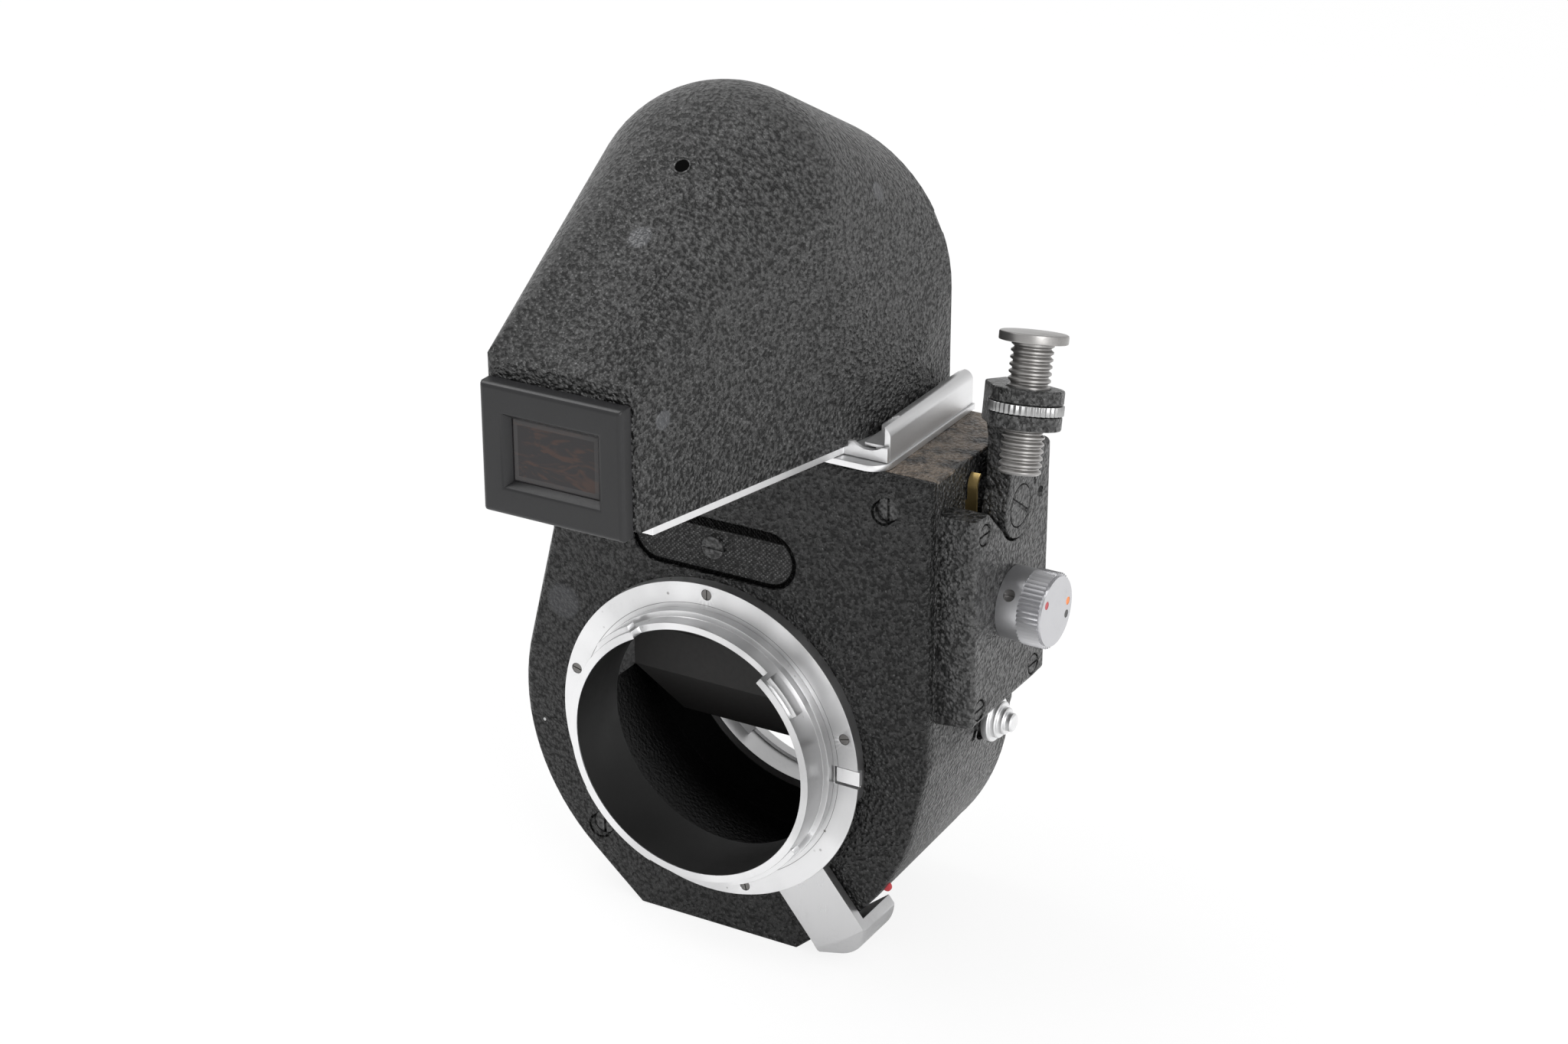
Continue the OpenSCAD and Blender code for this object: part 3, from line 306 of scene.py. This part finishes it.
def axisRadius(place, axis, centre=(0, 0, 0)):  # distance from a line along one axis
    flat = [0 if letter == axis else 1 for letter in "XYZ"]
    away = place.vector("MULTIPLY", place.vector("SUBTRACT", place, centre), flat)
    return place.vector("LENGTH", away, out="Value")


def between(value, low, high):  # 1 where a value lies between two others
    return (value > low) * (value < high)


def larger(one, two):
    return one.math("MAXIMUM", one, two)


enamelLook = {
    "pebbles": 1500,  # lumps in a metre
    "valleyShade": grey(0.001),
    "mound": (0.066, 0.066, 0.066),
    "worn": (0.052, 0.054, 0.060, 1),
    "rough": 0.36,
    "depth": 0.00045,
    "drift": 0.00025,  # how far lumps are pushed out of their pattern
    "inside": grey(0.008),
    "settledDust": (0.30, 0.235, 0.18, 1),
    "flecks": grey(0.3),
    "chip": grey(0.55),
    # painted shade in the gap round sunk screws
    "gap": grey(0.002),
    "gapWidth": 0.35,  # millimetres
    "plateRecessShade": grey(0.0015),
}
plateLook = {
    "rim": (0.00085, 0.00055),  # distances from its edge between which painted shade darkens the groove round the recessed plate
    "top": (0.00175, 0.00135),  # the same for the painted shadow under its upper edge
    "hatch": 4600.0,  # radians in a metre
}
shellHollow = {  # limits of its walls, in metres
    "width": (-0.02555, 0.02555),
    "depth": (0.0041, 0.0309),
    "height": (-0.034, 0.0466),
    "bowlRadius": 0.03245,
    "bowlDepth": (0.0041, 0.0332),
    "levelTop": 0.0486,
}


def patchMask(place, tone, patches):  # 1 inside each worn or chipped patch
    mask = 0.0
    for centre, radius, strength in patches:
        reach = distanceTo(place, centre) / (radius * mm)
        spot = (1 - (reach + (tone - 0.5) * 0.5).step(0.75, 1.1)) * strength
        mask = larger(spot, mask)
    return mask


def plateRecessShade(place):  # painted shade: 1 in the groove along the rim of the recessed name plate and in the painted shadow under its upper edge
    low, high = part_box("name_plate")
    radius = (high.z - low.z) / 2  # of its round ends
    side = larger(abs(place.axis("X")) - (high.x - radius), 0.0)
    rise = place.axis("Z") - (high.z + low.z) / 2
    reach = (side * side + rise * rise) ** 0.5
    rim, top = ([radius - away for away in plateLook[key]] for key in ("rim", "top"))
    return larger(reach.step(*rim), rise.step(*top))


def crossedLines(place):  # cut lines crossing each other
    x, z = place.axis("X"), place.axis("Z")
    one, two = ((x + z * side) * plateLook["hatch"] for side in (1, -1))
    return abs(one.math("SINE", one)) * abs(two.math("SINE", two))


def insideShell(place):  # 1 on the walls that are painted flat black
    x, y, z = (place.axis(letter) for letter in "XYZ")
    box = between(x, *shellHollow["width"]) * between(y, *shellHollow["depth"])
    box = box * between(z, *shellHollow["height"])
    bowl = between(axisRadius(place, "Y"), -1, shellHollow["bowlRadius"])
    return larger(box, bowl * between(y, *shellHollow["bowlDepth"]) * (z < 0))


def crinkleEnamel(
    name, depth=1.0, patches=(), chips=(), shadeRings=(), hollow=False, hatch=False, shade=1.0, specular=0.5
):
    made, place = newMaterial(name)
    pebbles, drift = enamelLook["pebbles"], enamelLook["drift"]
    push = place.node("ShaderNodeTexNoise", None, {"Vector": place, "Scale": 700.0}, "Color")
    push = push.vector("SUBTRACT", push, (0.5, 0.5, 0.5))
    bent = place.vector("ADD", place, push.vector("MULTIPLY", push, (drift, drift, drift)))
    lumps = (1 - bent.cells(pebbles).step(0.15, 0.7)) * 0.55
    lumps = lumps + bent.noise(pebbles * 0.9, 1.0, 0.5).step(0.38, 0.6) * 0.45
    fine = bent.noise(pebbles * 2.6, 1.0, 0.5).step(0.3, 0.7)
    height = lumps * 0.85 + fine * 0.15
    tone = place.noise(90.0, 3.0, 0.6)
    if hatch:
        height = lumps * (0.25 + crossedLines(place).step(0.2, 0.75))
    if patches:
        smooth = patchMask(place, tone, patches)
        height = height + (0.8 - height) * smooth
    mound = tinted(enamelLook["mound"], shade)
    # painted shade in the crinkle: the valleys take a dark colour and the mounds a lighter one, with random
    # tone
    color = place.blend(height * 0.9 + (tone - 0.5) * 0.3, enamelLook["valleyShade"], mound)
    if patches:
        color = place.blend(smooth * 0.8, color, enamelLook["worn"])
    rough = enamelLook["rough"] + (tone - 0.5) * 0.25 + (0.5 - height) * 0.14
    if hollow:  # dust lies on the level top beside the finder
        within = insideShell(place)
        color = place.blend(within, color, enamelLook["inside"])
        height = height * (1 - within * 0.85)
        settled = place.noise(260.0, 3.0, 0.6).step(0.36, 0.62)
        settled = settled * (place.axis("Z") > shellHollow["levelTop"])
        color = place.blend(settled * 0.5, color, enamelLook["settledDust"])
    dark = (1 - height).step(0.3, 0.95) * 0.4  # deep valleys throw back no light
    if hatch:
        # painted shade round the recessed plate, made darker still through Metallic
        edge = plateRecessShade(place)
        color = place.blend(edge, color, enamelLook["plateRecessShade"])
        dark = larger(dark, edge)
    for centre, radius in shadeRings:  # painted shade in the gap round a sunk screw, made darker still through Metallic
        gap = between(distanceTo(place, centre), radius * mm, (radius + enamelLook["gapWidth"]) * mm)
        color = place.blend(gap, color, enamelLook["gap"])
        dark = larger(dark, gap)
    if chips:
        color = place.blend(patchMask(place, tone, chips), color, enamelLook["chip"])
    flecks = (1 - place.cells(900.0).step(0.03, 0.09)) * (place.noise(300.0, 1.0) > 0.64)
    color = place.blend(flecks * 0.35, color, enamelLook["flecks"])
    return finishMaterial(made, place, color=color, rough=rough, specular=specular, metal=dark,
                          normal=bumpOf(place, height, 1.0, enamelLook["depth"] * depth))


grainDepth = 0.00003
metalLook = {
    "lines": 5200.0,  # brushing or turning marks in a metre
    "wornShare": 0.72,  # what worn metal keeps of its colour
    "darkReflectionShare": 0.42,  # the same where a turned face has painted darker reflections
    "darkReflectionWay": (0.77, 0, 0.64),  # where a turned face's painted darker reflection lies
    "pilotRoot": (0.02262, 0.02272),  # radii between which the foot of the round pilot is dark
    "rootShade": grey(0.05),
    "speck": (0.05, 0.042, 0.035, 1),
    "paintRadius": 0.01985,
    "paintBehind": 0.0002,  # distance from the tube's rim
    "paint": grey(0.007),
}


def satinMetal(name, tint, rough, turned=None, along="X", scuffs=0.5, paintedInside=False, specks=0.0):
    made, place = newMaterial(name)
    if turned:
        axis, centre = turned
        turning = {0: axisRadius(place, axis, centre), 1: place.axis(axis), 2: place.axis("X") * 0.01}
        line = place.node("ShaderNodeCombineXYZ", None, turning)
    else:
        stretch = {"X": (0.02, 1, 1), "Y": (1, 0.02, 1), "Z": (1, 1, 0.02)}[along]
        line = place.vector("MULTIPLY", place, stretch)
    lines = line.noise(metalLook["lines"], 2.0, 0.6)
    cloud = place.noise(130.0, 3.0, 0.6)
    grain = place.noise(1900.0, 2.0, 0.7)
    wear = (cloud * 0.6 + grain * 0.4).step(0.5, 0.75) * scuffs
    color = place.blend(wear * 0.5 + lines * 0.12, tinted(tint), tinted(tint, metalLook["wornShare"]))
    if turned and axis == "Y":  # painted reflections on a turned face: darker rays about its axis, and a darker reflection towards the upper right
        ray = place.vector("NORMALIZE", place.vector("MULTIPLY", place, (1, 0, 1)))
        darkReflection = ray.vector("DOT_PRODUCT", ray, metalLook["darkReflectionWay"], out="Value").step(0.35, 1.0)
        rays = ray.noise(1.7, 2.0).step(0.4, 0.62) * 0.3
        color = place.blend(rays + darkReflection * 0.35, color, tinted(tint, metalLook["darkReflectionShare"]))
        root = between(axisRadius(place, axis), *metalLook["pilotRoot"])
        color = place.blend(root * 0.7, color, metalLook["rootShade"])
    if specks:
        spots = (1 - place.cells(640.0).step(0.08, 0.2)) * place.noise(180.0, 2.0).step(0.56, 0.68)
        color = place.blend(spots * specks, color, metalLook["speck"])
    roughness = rough + (cloud - 0.5) * 0.22 + wear * 0.12 + lines * 0.06
    metal = 1.0
    if paintedInside:  # flat black from just behind the rim
        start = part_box("bayonet_tube")[0].y + metalLook["paintBehind"]
        within = (axisRadius(place, "Y") < metalLook["paintRadius"]) * (place.axis("Y") > start)
        color = place.blend(within, color, metalLook["paint"])
        roughness = roughness + within * 0.15
        metal = 1 - within
    return finishMaterial(made, place, color=color, rough=roughness, metal=metal,
                          normal=bumpOf(place, lines * 0.5 + grain * 0.2, 0.25, grainDepth))


def plainFinish(name, tint, rough, metal=0.0, grain=0.15, scale=1500.0, **more):
    made, place = newMaterial(name)
    cloud = place.noise(160.0, 3.0, 0.6)
    fine = place.noise(scale, 3.0, 0.65)
    color = place.blend(cloud * 0.6 + fine * 0.4, tinted(tint), tinted(tint, 1 - grain))
    return finishMaterial(made, place, color=color, rough=rough + (fine - 0.5) * 0.15, metal=metal,
                          normal=bumpOf(place, fine, 0.3, grainDepth), **more)


windowLook = {
    "cover": (0.001, 0.00105),  # how far the surround covers it, at the sides and above
    "lineWidth": 0.0006,
    "dark": (0.012, 0.010, 0.011, 1),
    "reflectedBrown": (0.036, 0.018, 0.013, 1),
    "line": (0.05, 0.048, 0.048, 1),
}


def windowPart(place, side, rise):  # 1 where the window is this far from its edges
    low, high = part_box("eyepiece_window")
    across = between(place.axis("X"), low.x + side, high.x - side)
    return across * between(place.axis("Z"), low.z + rise, high.z - rise)


def darkWindow(name):  # painted reflections of the prism's faces: brownish streaks and the lighter line of an inner frame
    made, place = newMaterial(name)
    inside = windowPart(place, *windowLook["cover"])
    opening = windowPart(place, *(cover + windowLook["lineWidth"] for cover in windowLook["cover"]))
    line = (1 - opening) * inside
    reflectedStreak = place.vector("MULTIPLY", place, (1, 1, 3)).noise(170.0, 2.0, 0.6, 1.5)
    color = place.blend(reflectedStreak.step(0.48, 0.68) * inside, windowLook["dark"], windowLook["reflectedBrown"])
    color = place.blend(line * 0.5, color, windowLook["line"])
    return finishMaterial(made, place, color=color, rough=0.2, specular=0.25, coat=0.15, coatRough=0.05)


finderTree = treeOf(nodes["prism_housing"], nodes["finder_base"])
coverTree = treeOf(nodes["rear_cover"])
finderPatches = [
    (onSurface(name, finderTree)[0], radius, strength)
    for name, radius, strength in (("patchLeft", 1.9, 0.6), ("patchRight", 1.6, 0.6), ("patchLow", 1.5, 0.7))
]
coverPatches = [(onSurface("patchCover", coverTree)[0], 3.0, 0.45)]
coverChips = [(onSurface("paintChip", coverTree)[0], 0.28, 1.0)]
coverShadeRings = [(onSurface(name, coverTree)[0], 1.95) for name in ("upperScrew", "lowerScrew")]
prismEnamel = crinkleEnamel("prismEnamel", patches=finderPatches)
# painted shade: the rear cover's mound colour (shade 0.45) and specular are lowered for a face turned away
# from the light from above
coverEnamel = crinkleEnamel(
    "coverEnamel", patches=coverPatches, chips=coverChips, shadeRings=coverShadeRings, shade=0.45, specular=0.33
)
plateEnamel = crinkleEnamel("plateEnamel", hatch=True, shade=1.5, specular=0.35)
shellEnamel = crinkleEnamel("shellEnamel", hollow=True)
screwEnamel = crinkleEnamel("screwEnamel", depth=0.35)
sideEnamel = crinkleEnamel("sideEnamel", depth=0.6)
lensAxis, dialAxis = ("Y", (0, 0, 0)), ("X", middleOf("mode_dial"))
silver = (0.70, 0.70, 0.705)
flangeMetal = satinMetal("flangeMetal", silver, 0.33, turned=lensAxis, scuffs=0.6, specks=0.8)
tubeMetal = satinMetal("tubeMetal", silver, 0.3, turned=lensAxis, specks=0.5, paintedInside=True)
nutChrome = satinMetal("nutChrome", (0.36, 0.36, 0.36), 0.36, along="Z", scuffs=0.8)
chrome = satinMetal("satinChrome", (0.74, 0.74, 0.745), 0.42, along="Y", scuffs=0.4)
leverChrome = satinMetal("leverChrome", (0.55, 0.55, 0.555), 0.28, along="Z")
dialMetal = satinMetal("dialAluminium", (0.50, 0.50, 0.515), 0.36, turned=dialAxis, scuffs=0.4)
rodMetal = satinMetal("rodMetal", (0.33, 0.322, 0.315), 0.36, scuffs=0.9, specks=0.5)
darkSteel = satinMetal("darkSteel", (0.16, 0.155, 0.15), 0.38)
springBrass = satinMetal("springBrass", (0.42, 0.31, 0.13), 0.4, along="Z", scuffs=0.9)
mirrorBack = plainFinish("mirrorBack", (0.006, 0.0052, 0.005), 0.7)
mirrorFace = plainFinish("mirrorFace", (0.85, 0.86, 0.87), 0.08, metal=1.0, grain=0.04)
frosted = plainFinish("frostedGlass", (0.62, 0.63, 0.62), 0.55)
blackGlass = plainFinish("blackGlass", (0.014, 0.011, 0.012), 0.16, coat=1.0, coatRough=0.03)
windowGlass = darkWindow("windowGlass")
surroundBlack = plainFinish(
    "surroundBlack", (0.014, 0.014, 0.015), 0.42, grain=0.35, scale=2600.0, specular=0.35
)
paintedHoleShade = plainFinish("paintedHoleShade", (0.003, 0.003, 0.003), 0.9, specular=0.0)
flatBlack = plainFinish("flatBlack", (0.012, 0.012, 0.012), 0.7)
dotRed = plainFinish("dotRed", (0.42, 0.02, 0.03), 0.35)
dotOrange = plainFinish("dotOrange", (0.80, 0.20, 0.015), 0.35)
dotBlack = plainFinish("dotBlack", (0.01, 0.01, 0.01), 0.35)
print("materials ready")

finishes = {
    "main_shell": shellEnamel, "rear_cover": coverEnamel, "cover_screws": screwEnamel,
    "name_plate": plateEnamel, "name_plate_screw": screwEnamel, "rear_flange": flangeMetal,
    "bayonet_tube": tubeMetal, "retaining_ring": flatBlack, "flange_screws": darkSteel,
    "lock_key": chrome, "release_lever": leverChrome, "front_ring": flangeMetal,
    "front_ring_screws": darkSteel, "mirror_frame": mirrorBack, "mirror_glass": mirrorFace,
    "ground_glass": frosted, "finder_seat": chrome, "finder_rails": chrome, "seat_screws": chrome,
    "finder_base": chrome, "prism_housing": prismEnamel, "eyepiece_surround": surroundBlack,
    "eyepiece_window": windowGlass, "prism_glass": blackGlass, "side_cover": sideEnamel,
    "side_cover_screws": screwEnamel, "leaf_spring": springBrass, "release_arm": sideEnamel,
    "pivot_screw": screwEnamel, "knurled_nut": nutChrome, "plunger_rod": rodMetal,
    "mode_dial": dialMetal, "dial_shaft": darkSteel, "dial_set_screw": darkSteel,
    "dot_red": dotRed, "dot_orange": dotOrange, "dot_black": dotBlack,
    "lock_button": chrome, "lock_pin": darkSteel,
}
for name, finish in finishes.items():
    slots = nodes[name].data.materials
    slots.clear()
    slots.append(finish)


def addPiece(name, shape, body, finish, stands=()):  # a finished bmesh becomes a piece
    mesh = bpy.data.meshes.new(name)
    shape.to_mesh(mesh)
    shape.free()
    mesh.materials.append(finish)
    piece = bpy.data.objects.new(name, mesh)
    bpy.context.scene.collection.objects.link(piece)
    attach(piece, body)
    if stands:
        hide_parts(*stands)
    return piece


def keepFlats(piece):  # flat faces keep their shading beside rounded edges
    weigh = piece.modifiers.new("flats", "WEIGHTED_NORMAL")
    weigh.keep_sharp = True
    weigh.weight = 80


def roundEdges(shape, edges, width):
    bmesh.ops.bevel(shape, geom=edges, offset=width, offset_type="OFFSET", segments=2, profile=0.5,
                    affect="EDGES", clamp_overlap=False, material=-1, loop_slide=False)


def shadeSmooth(shape, angle):  # smooth, but for edges sharper than this
    for face in shape.faces:
        face.smooth = True
    for edge in shape.edges:
        edge.smooth = len(edge.link_faces) == 2 and edge.calc_face_angle(0) < math.radians(angle)


rounding = {
    "angle": 38,  # edges sharper than this are rounded
    "folded": -0.2,  # below this dot product with the old surface's normal, a face has folded over
    "clear": 2.5,  # least distance from a folded place to a rounded edge, in widths
    "trials": 4,
    "merge": 2e-6,
    "smallest": 1e-12,  # area of a face that counts
}


def foldedPlaces(shape, edges, width, tree):  # where rounding these edges folds faces over
    tried = shape.copy()
    tried.edges.ensure_lookup_table()
    roundEdges(tried, [tried.edges[index] for index in edges], width)
    bmesh.ops.triangulate(tried, faces=tried.faces)
    places = []
    for face in tried.faces:
        if face.calc_area() > rounding["smallest"]:
            middle = face.calc_center_median()
            _, normal, _, gap = tree.find_nearest(middle)
            if face.normal.dot(normal) < rounding["folded"] or gap > width:
                places.append(middle)
    tried.free()
    return places


def roundedCopy(node, width, turn=0):  # a CAD node with its sharp edges rounded off
    source = nodes[node]
    shape = bmesh.new()
    shape.from_mesh(source.data)
    bmesh.ops.remove_doubles(shape, verts=shape.verts, dist=rounding["merge"])
    if turn:
        about = Matrix.Rotation(math.radians(turn), 3, "Y")
        bmesh.ops.rotate(shape, verts=shape.verts, cent=middleOf(node), matrix=about)
    tree = BVHTree.FromBMesh(shape)
    shape.edges.index_update()
    shape.edges.ensure_lookup_table()
    sharp = [edge.index for edge in shape.edges if len(edge.link_faces) == 2
             and edge.calc_face_angle(0) > math.radians(rounding["angle"])]
    for _ in range(rounding["trials"]):  # edges that would fold over beside small details stay sharp
        folded = foldedPlaces(shape, sharp, width, tree)
        if not folded:
            break
        near = KDTree(len(folded))
        for number, middle in enumerate(folded):
            near.insert(middle, number)
        near.balance()
        kept = []
        for index in sharp:
            start, end = (corner.co for corner in shape.edges[index].verts)
            gaps = (near.find(start.lerp(end, part))[2] for part in (0, 0.25, 0.5, 0.75, 1))
            if min(gaps) > width * rounding["clear"]:
                kept.append(index)
        sharp = kept
    roundEdges(shape, [shape.edges[index] for index in sharp], width)
    shadeSmooth(shape, rounding["angle"])
    body = body_of(source)[0]
    piece = addPiece(node + "_round", shape, body, finishes[node], [node])
    keepFlats(piece)


roundedWidths = {  # millimetres
    "main_shell": 0.22, "rear_cover": 0.15, "side_cover": 0.3, "release_arm": 0.3,
    "eyepiece_surround": 0.3, "rear_flange": 0.12, "bayonet_tube": 0.12, "front_ring": 0.1,
    "release_lever": 0.12, "finder_seat": 0.12, "finder_rails": 0.15, "finder_base": 0.1,
    "prism_housing": 0.7, "knurled_nut": 0.08, "lock_key": 0.08, "cover_screws": 0.1,
    "side_cover_screws": 0.1, "pivot_screw": 0.15, "name_plate_screw": 0.1,
}
turns = {"name_plate_screw": -60}  # degrees that bring its slot level
for node, width in roundedWidths.items():
    roundedCopy(node, width * mm, turns.get(node, 0))
print("edges rounded")

turnedCrease = 32  # degrees


def lathe(name, profile, origin, lean, body, finish, stands=(), steps=48):
    # the profile is pairs of radius and height in millimetres
    shape = bmesh.new()
    line = [shape.verts.new((radius * mm, 0, height * mm)) for radius, height in profile]
    edges = [shape.edges.new(pair) for pair in zip(line, line[1:])]
    bmesh.ops.spin(shape, geom=line + edges, cent=(0, 0, 0), axis=(0, 0, 1), angle=math.tau,
                   steps=steps, use_merge=True)
    bmesh.ops.remove_doubles(shape, verts=shape.verts, dist=1e-7)
    bmesh.ops.recalc_face_normals(shape, faces=shape.faces)
    bmesh.ops.transform(shape, matrix=Matrix.Translation(origin) @ lean, verts=shape.verts)
    shadeSmooth(shape, turnedCrease)
    keepFlats(addPiece(name, shape, body, finish, stands))


def standing(normal):  # turns upright things along a normal
    return normal.to_track_quat("Z", "Y").to_matrix().to_4x4()


plunger = {  # lengths in millimetres, heights from its nut
    "leanIn": -3,
    "leanForward": -16.3,
    "radius": 3.05,
    "root": 2.64,
    "bottom": -9.4,
    "firstCrest": -8.9,
    "turns": 18,  # of one millimetre
    "top": 9.3,  # where the disc begins
}
crest, root, top = plunger["radius"], plunger["root"], plunger["top"]
rod = [(0, plunger["bottom"]), (2.7, plunger["bottom"]), (crest, plunger["bottom"] + 0.3)]
for turn in range(plunger["turns"]):
    base = plunger["firstCrest"] + turn
    rod += [(crest, base), (root, base + 0.3), (root, base + 0.45), (crest, base + 0.75)]
disc = [
    (4.75, top), (4.9, top + 0.06), (4.95, top + 0.2),
    (4.95, top + 1.1), (4.88, top + 1.27), (4.7, top + 1.35), (0, top + 1.35),
]
rod += [(crest, top)] + disc
leaning = Matrix.Rotation(math.radians(plunger["leanIn"]), 4, "Y")
leaning = leaning @ Matrix.Rotation(math.radians(plunger["leanForward"]), 4, "X")
plungerPlace = middleOf("knurled_nut")
lathe("plunger_thread", rod, plungerPlace, leaning, body_of(nodes["plunger_rod"])[0], rodMetal,
      ["plunger_rod"])

button = [  # four steps
    (0, 0), (3.55, 0), (3.6, 0.08), (3.6, 0.95), (3.45, 1.1), (2.95, 1.1),
    (2.85, 1.2), (2.85, 1.85), (2.7, 2.0), (2.2, 2.0),
    (2.1, 2.1), (2.1, 2.75), (1.95, 2.9), (1.55, 2.9),
    (1.45, 3.0), (1.45, 3.75), (1.2, 3.95), (0, 4.0),
]
foot = middleOf("lock_button")
foot.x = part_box("lock_button")[0].x
lathe("lock_button_turned", button, foot, Matrix.Rotation(math.radians(90), 4, "Y"),
      body_of(nodes["lock_button"])[0], chrome, ["lock_button"])

place, normal = onSurface("indexDot", treeOf(nodes["main_shell"]))
dot = [(0, -0.3), (0.8, -0.3), (0.8, 0.05), (0.7, 0.13), (0.4, 0.18), (0, 0.2)]
lathe("index_dot", dot, place, standing(normal), body_of(nodes["main_shell"])[0], dotRed, steps=24)

place, normal = onSurface("domeHole", treeOf(nodes["prism_housing"]))
rim = [(1.35, -0.2), (1.3, 0.06), (1.2, 0.13), (1.1, 0.12), (1.02, 0.04), (1.02, -0.1)]
# a dark disc with no specular is painted shade standing in for the inside of the hole
bottom = [(1.08, -0.2), (1.08, 0.05), (0.6, 0.05), (0.55, 0.08), (0, 0.08)]
finder = body_of(nodes["prism_housing"])[0]
for name, profile, finish in (("dome_hole_rim", rim, screwEnamel), ("dome_hole_floor", bottom, paintedHoleShade)):
    lathe(name, profile, place, standing(normal), finder, finish, steps=24)
print("small pieces placed")

stageLook = {
    "size": 3,
    "sunk": 0.00005,  # floor below the foot
    "glow": 0.985,
    "glowShare": 0.87,  # the rest of what the camera sees of the floor keeps the shadow
    "low": 0.24,  # light of the room from below
    "high": 1.05,
    "shinyLow": 0.95,  # the same where it is mirrored
    "shinyHigh": 0.6,
    "aim": (0, 0, 0.03),
}
lamps = {  # place, size and power
    "keyLamp": ((-0.5, -0.1, 0.9), 0.6, 6.5),
    "sideLamp": ((0.8, -0.5, 0.5), 0.5, 6.5),
}


def buildStage():
    shape = bmesh.new()
    bmesh.ops.create_grid(shape, x_segments=1, y_segments=1, size=stageLook["size"])
    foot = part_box("main_shell")[0].z
    bmesh.ops.translate(shape, verts=shape.verts, vec=(0, 0, foot - stageLook["sunk"]))
    mesh = bpy.data.meshes.new("floor")
    shape.to_mesh(mesh)
    shape.free()
    floor = bpy.data.objects.new("floor", mesh)
    bpy.context.scene.collection.objects.link(floor)
    made, place = newMaterial("paleFloor")
    speck = place.noise(400.0, 2.0)
    paper = place.node("ShaderNodeBsdfDiffuse", None, {"Color": place.blend(speck, grey(0.86), grey(0.9))})
    glow = place.node("ShaderNodeEmission", None, {"Color": grey(1), "Strength": stageLook["glow"]})
    seen = place.node("ShaderNodeLightPath", out="Is Camera Ray")
    mixed = place.node("ShaderNodeMixShader", None, {0: seen * stageLook["glowShare"], 1: paper, 2: glow})
    place.node("ShaderNodeOutputMaterial", None, {"Surface": mixed})
    mesh.materials.append(made)


def buildLight():
    world = bpy.data.worlds.new("paleRoom")
    bpy.context.scene.world = world
    world.use_nodes = True
    world.node_tree.nodes.clear()
    start = Wire(world.node_tree)
    seen = start.node("ShaderNodeLightPath", out="Is Camera Ray")
    glossy = start.node("ShaderNodeLightPath", out="Is Glossy Ray")
    clear = start.node("ShaderNodeLightPath", out="Is Transmission Ray")
    way = start.node("ShaderNodeTexCoord", out="Generated")
    height = way.axis("Z")
    room = start.blend(height.step(-0.2, 0.9), grey(stageLook["shinyLow"]), grey(stageLook["shinyHigh"]))
    lit = start.blend(height.step(-0.1, 1.0), grey(stageLook["low"]), grey(stageLook["high"]))
    plain = start.node("ShaderNodeBackground", None, {"Color": lit, "Strength": 1.0})
    shiny = start.node("ShaderNodeBackground", None, {"Color": room, "Strength": 1.0})
    white = start.node("ShaderNodeBackground", None, {"Color": grey(1), "Strength": 1.0})
    mixed = start.node("ShaderNodeMixShader", None, {0: glossy, 1: plain, 2: shiny})
    mixed = start.node("ShaderNodeMixShader", None, {0: larger(seen, clear), 1: mixed, 2: white})
    start.node("ShaderNodeOutputWorld", None, {"Surface": mixed})
    aim = Vector(stageLook["aim"])
    for name, (place, size, power) in lamps.items():
        lamp = bpy.data.lights.new(name, "AREA")
        lamp.size, lamp.energy = size, power
        made = bpy.data.objects.new(name, lamp)
        made.location = place
        made.rotation_euler = (Vector(place) - aim).to_track_quat("Z", "Y").to_euler()
        bpy.context.scene.collection.objects.link(made)


buildStage()
buildLight()
bpy.context.scene.view_settings.view_transform = "Standard"
print("stage ready")

carriers = {
    "eyeWindow": "eyepiece_window", "plateScrew": "name_plate_screw_round", "pivotScrew": "pivot_screw_round",
}
screwLow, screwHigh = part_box("cover_screws")
screwHead = 0.00185  # radius
dialMiddle = middleOf("mode_dial")
spots = {  # places in space that are known
    "upperScrew": (screwHigh.x - screwHead, screwLow.y, screwHigh.z - screwHead),
    "lowerScrew": (-0.0207, screwLow.y, screwLow.z + screwHead),  # inwards of the box's side
    "dialFace": (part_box("mode_dial")[1].x, dialMiddle.y, dialMiddle.z),
    "buttonCap": (foot.x + button[-1][1] * mm, foot.y, foot.z),
    "plungerDisc": tuple(plungerPlace + leaning.to_3x3() @ Vector((0, 0, disc[-1][1] * mm))),
}
samples = 30  # rays across a carrier, each way


def shownPlaces():  # where each named thing shows
    shown = bpy.context.evaluated_depsgraph_get()
    finished = [thing for thing in bpy.context.scene.objects
                if thing.type == "MESH" and not thing.hide_render and thing.name != "floor"]
    joined, owners, corners = bmesh.new(), [], []
    for thing in finished:
        mesh = thing.evaluated_get(shown).to_mesh()
        joined.from_mesh(mesh)
        owners += [thing.name] * (len(joined.faces) - len(owners))
        corners.append(np.array([tuple(end.co) for end in mesh.vertices]))
    tree = BVHTree.FromBMesh(joined)
    joined.free()
    flat = imagePlace(np.concatenate(corners))
    places = {"leftEdge": (flat[:, 0].min(), None), "rightEdge": (flat[:, 0].max(), None),
              "topEdge": (None, flat[:, 1].min()), "bottomEdge": (None, flat[:, 1].max())}
    names = [thing.name for thing in finished]
    for name, spot in spots.items():
        places[name] = tuple(imagePlace(np.array([spot]))[0])
    for name, carrier in carriers.items():
        own = imagePlace(corners[names.index(carrier)])
        hits = []
        for x in np.linspace(own[:, 0].min(), own[:, 0].max(), samples):
            for y in np.linspace(own[:, 1].min(), own[:, 1].max(), samples):
                index = tree.ray_cast(*pointRay((x, y)))[2]
                if index is not None and owners[index] == carrier:
                    hits.append((x, y))
        if hits:
            places[name] = tuple(np.mean(hits, axis=0))
    return places


for name, (x, y) in shownPlaces().items():
    wanted = imagePoints[name]
    None if wanted[0] is None or x is None else round(float(x - wanted[0]), 1)
    None if wanted[1] is None or y is None else round(float(y - wanted[1]), 1)
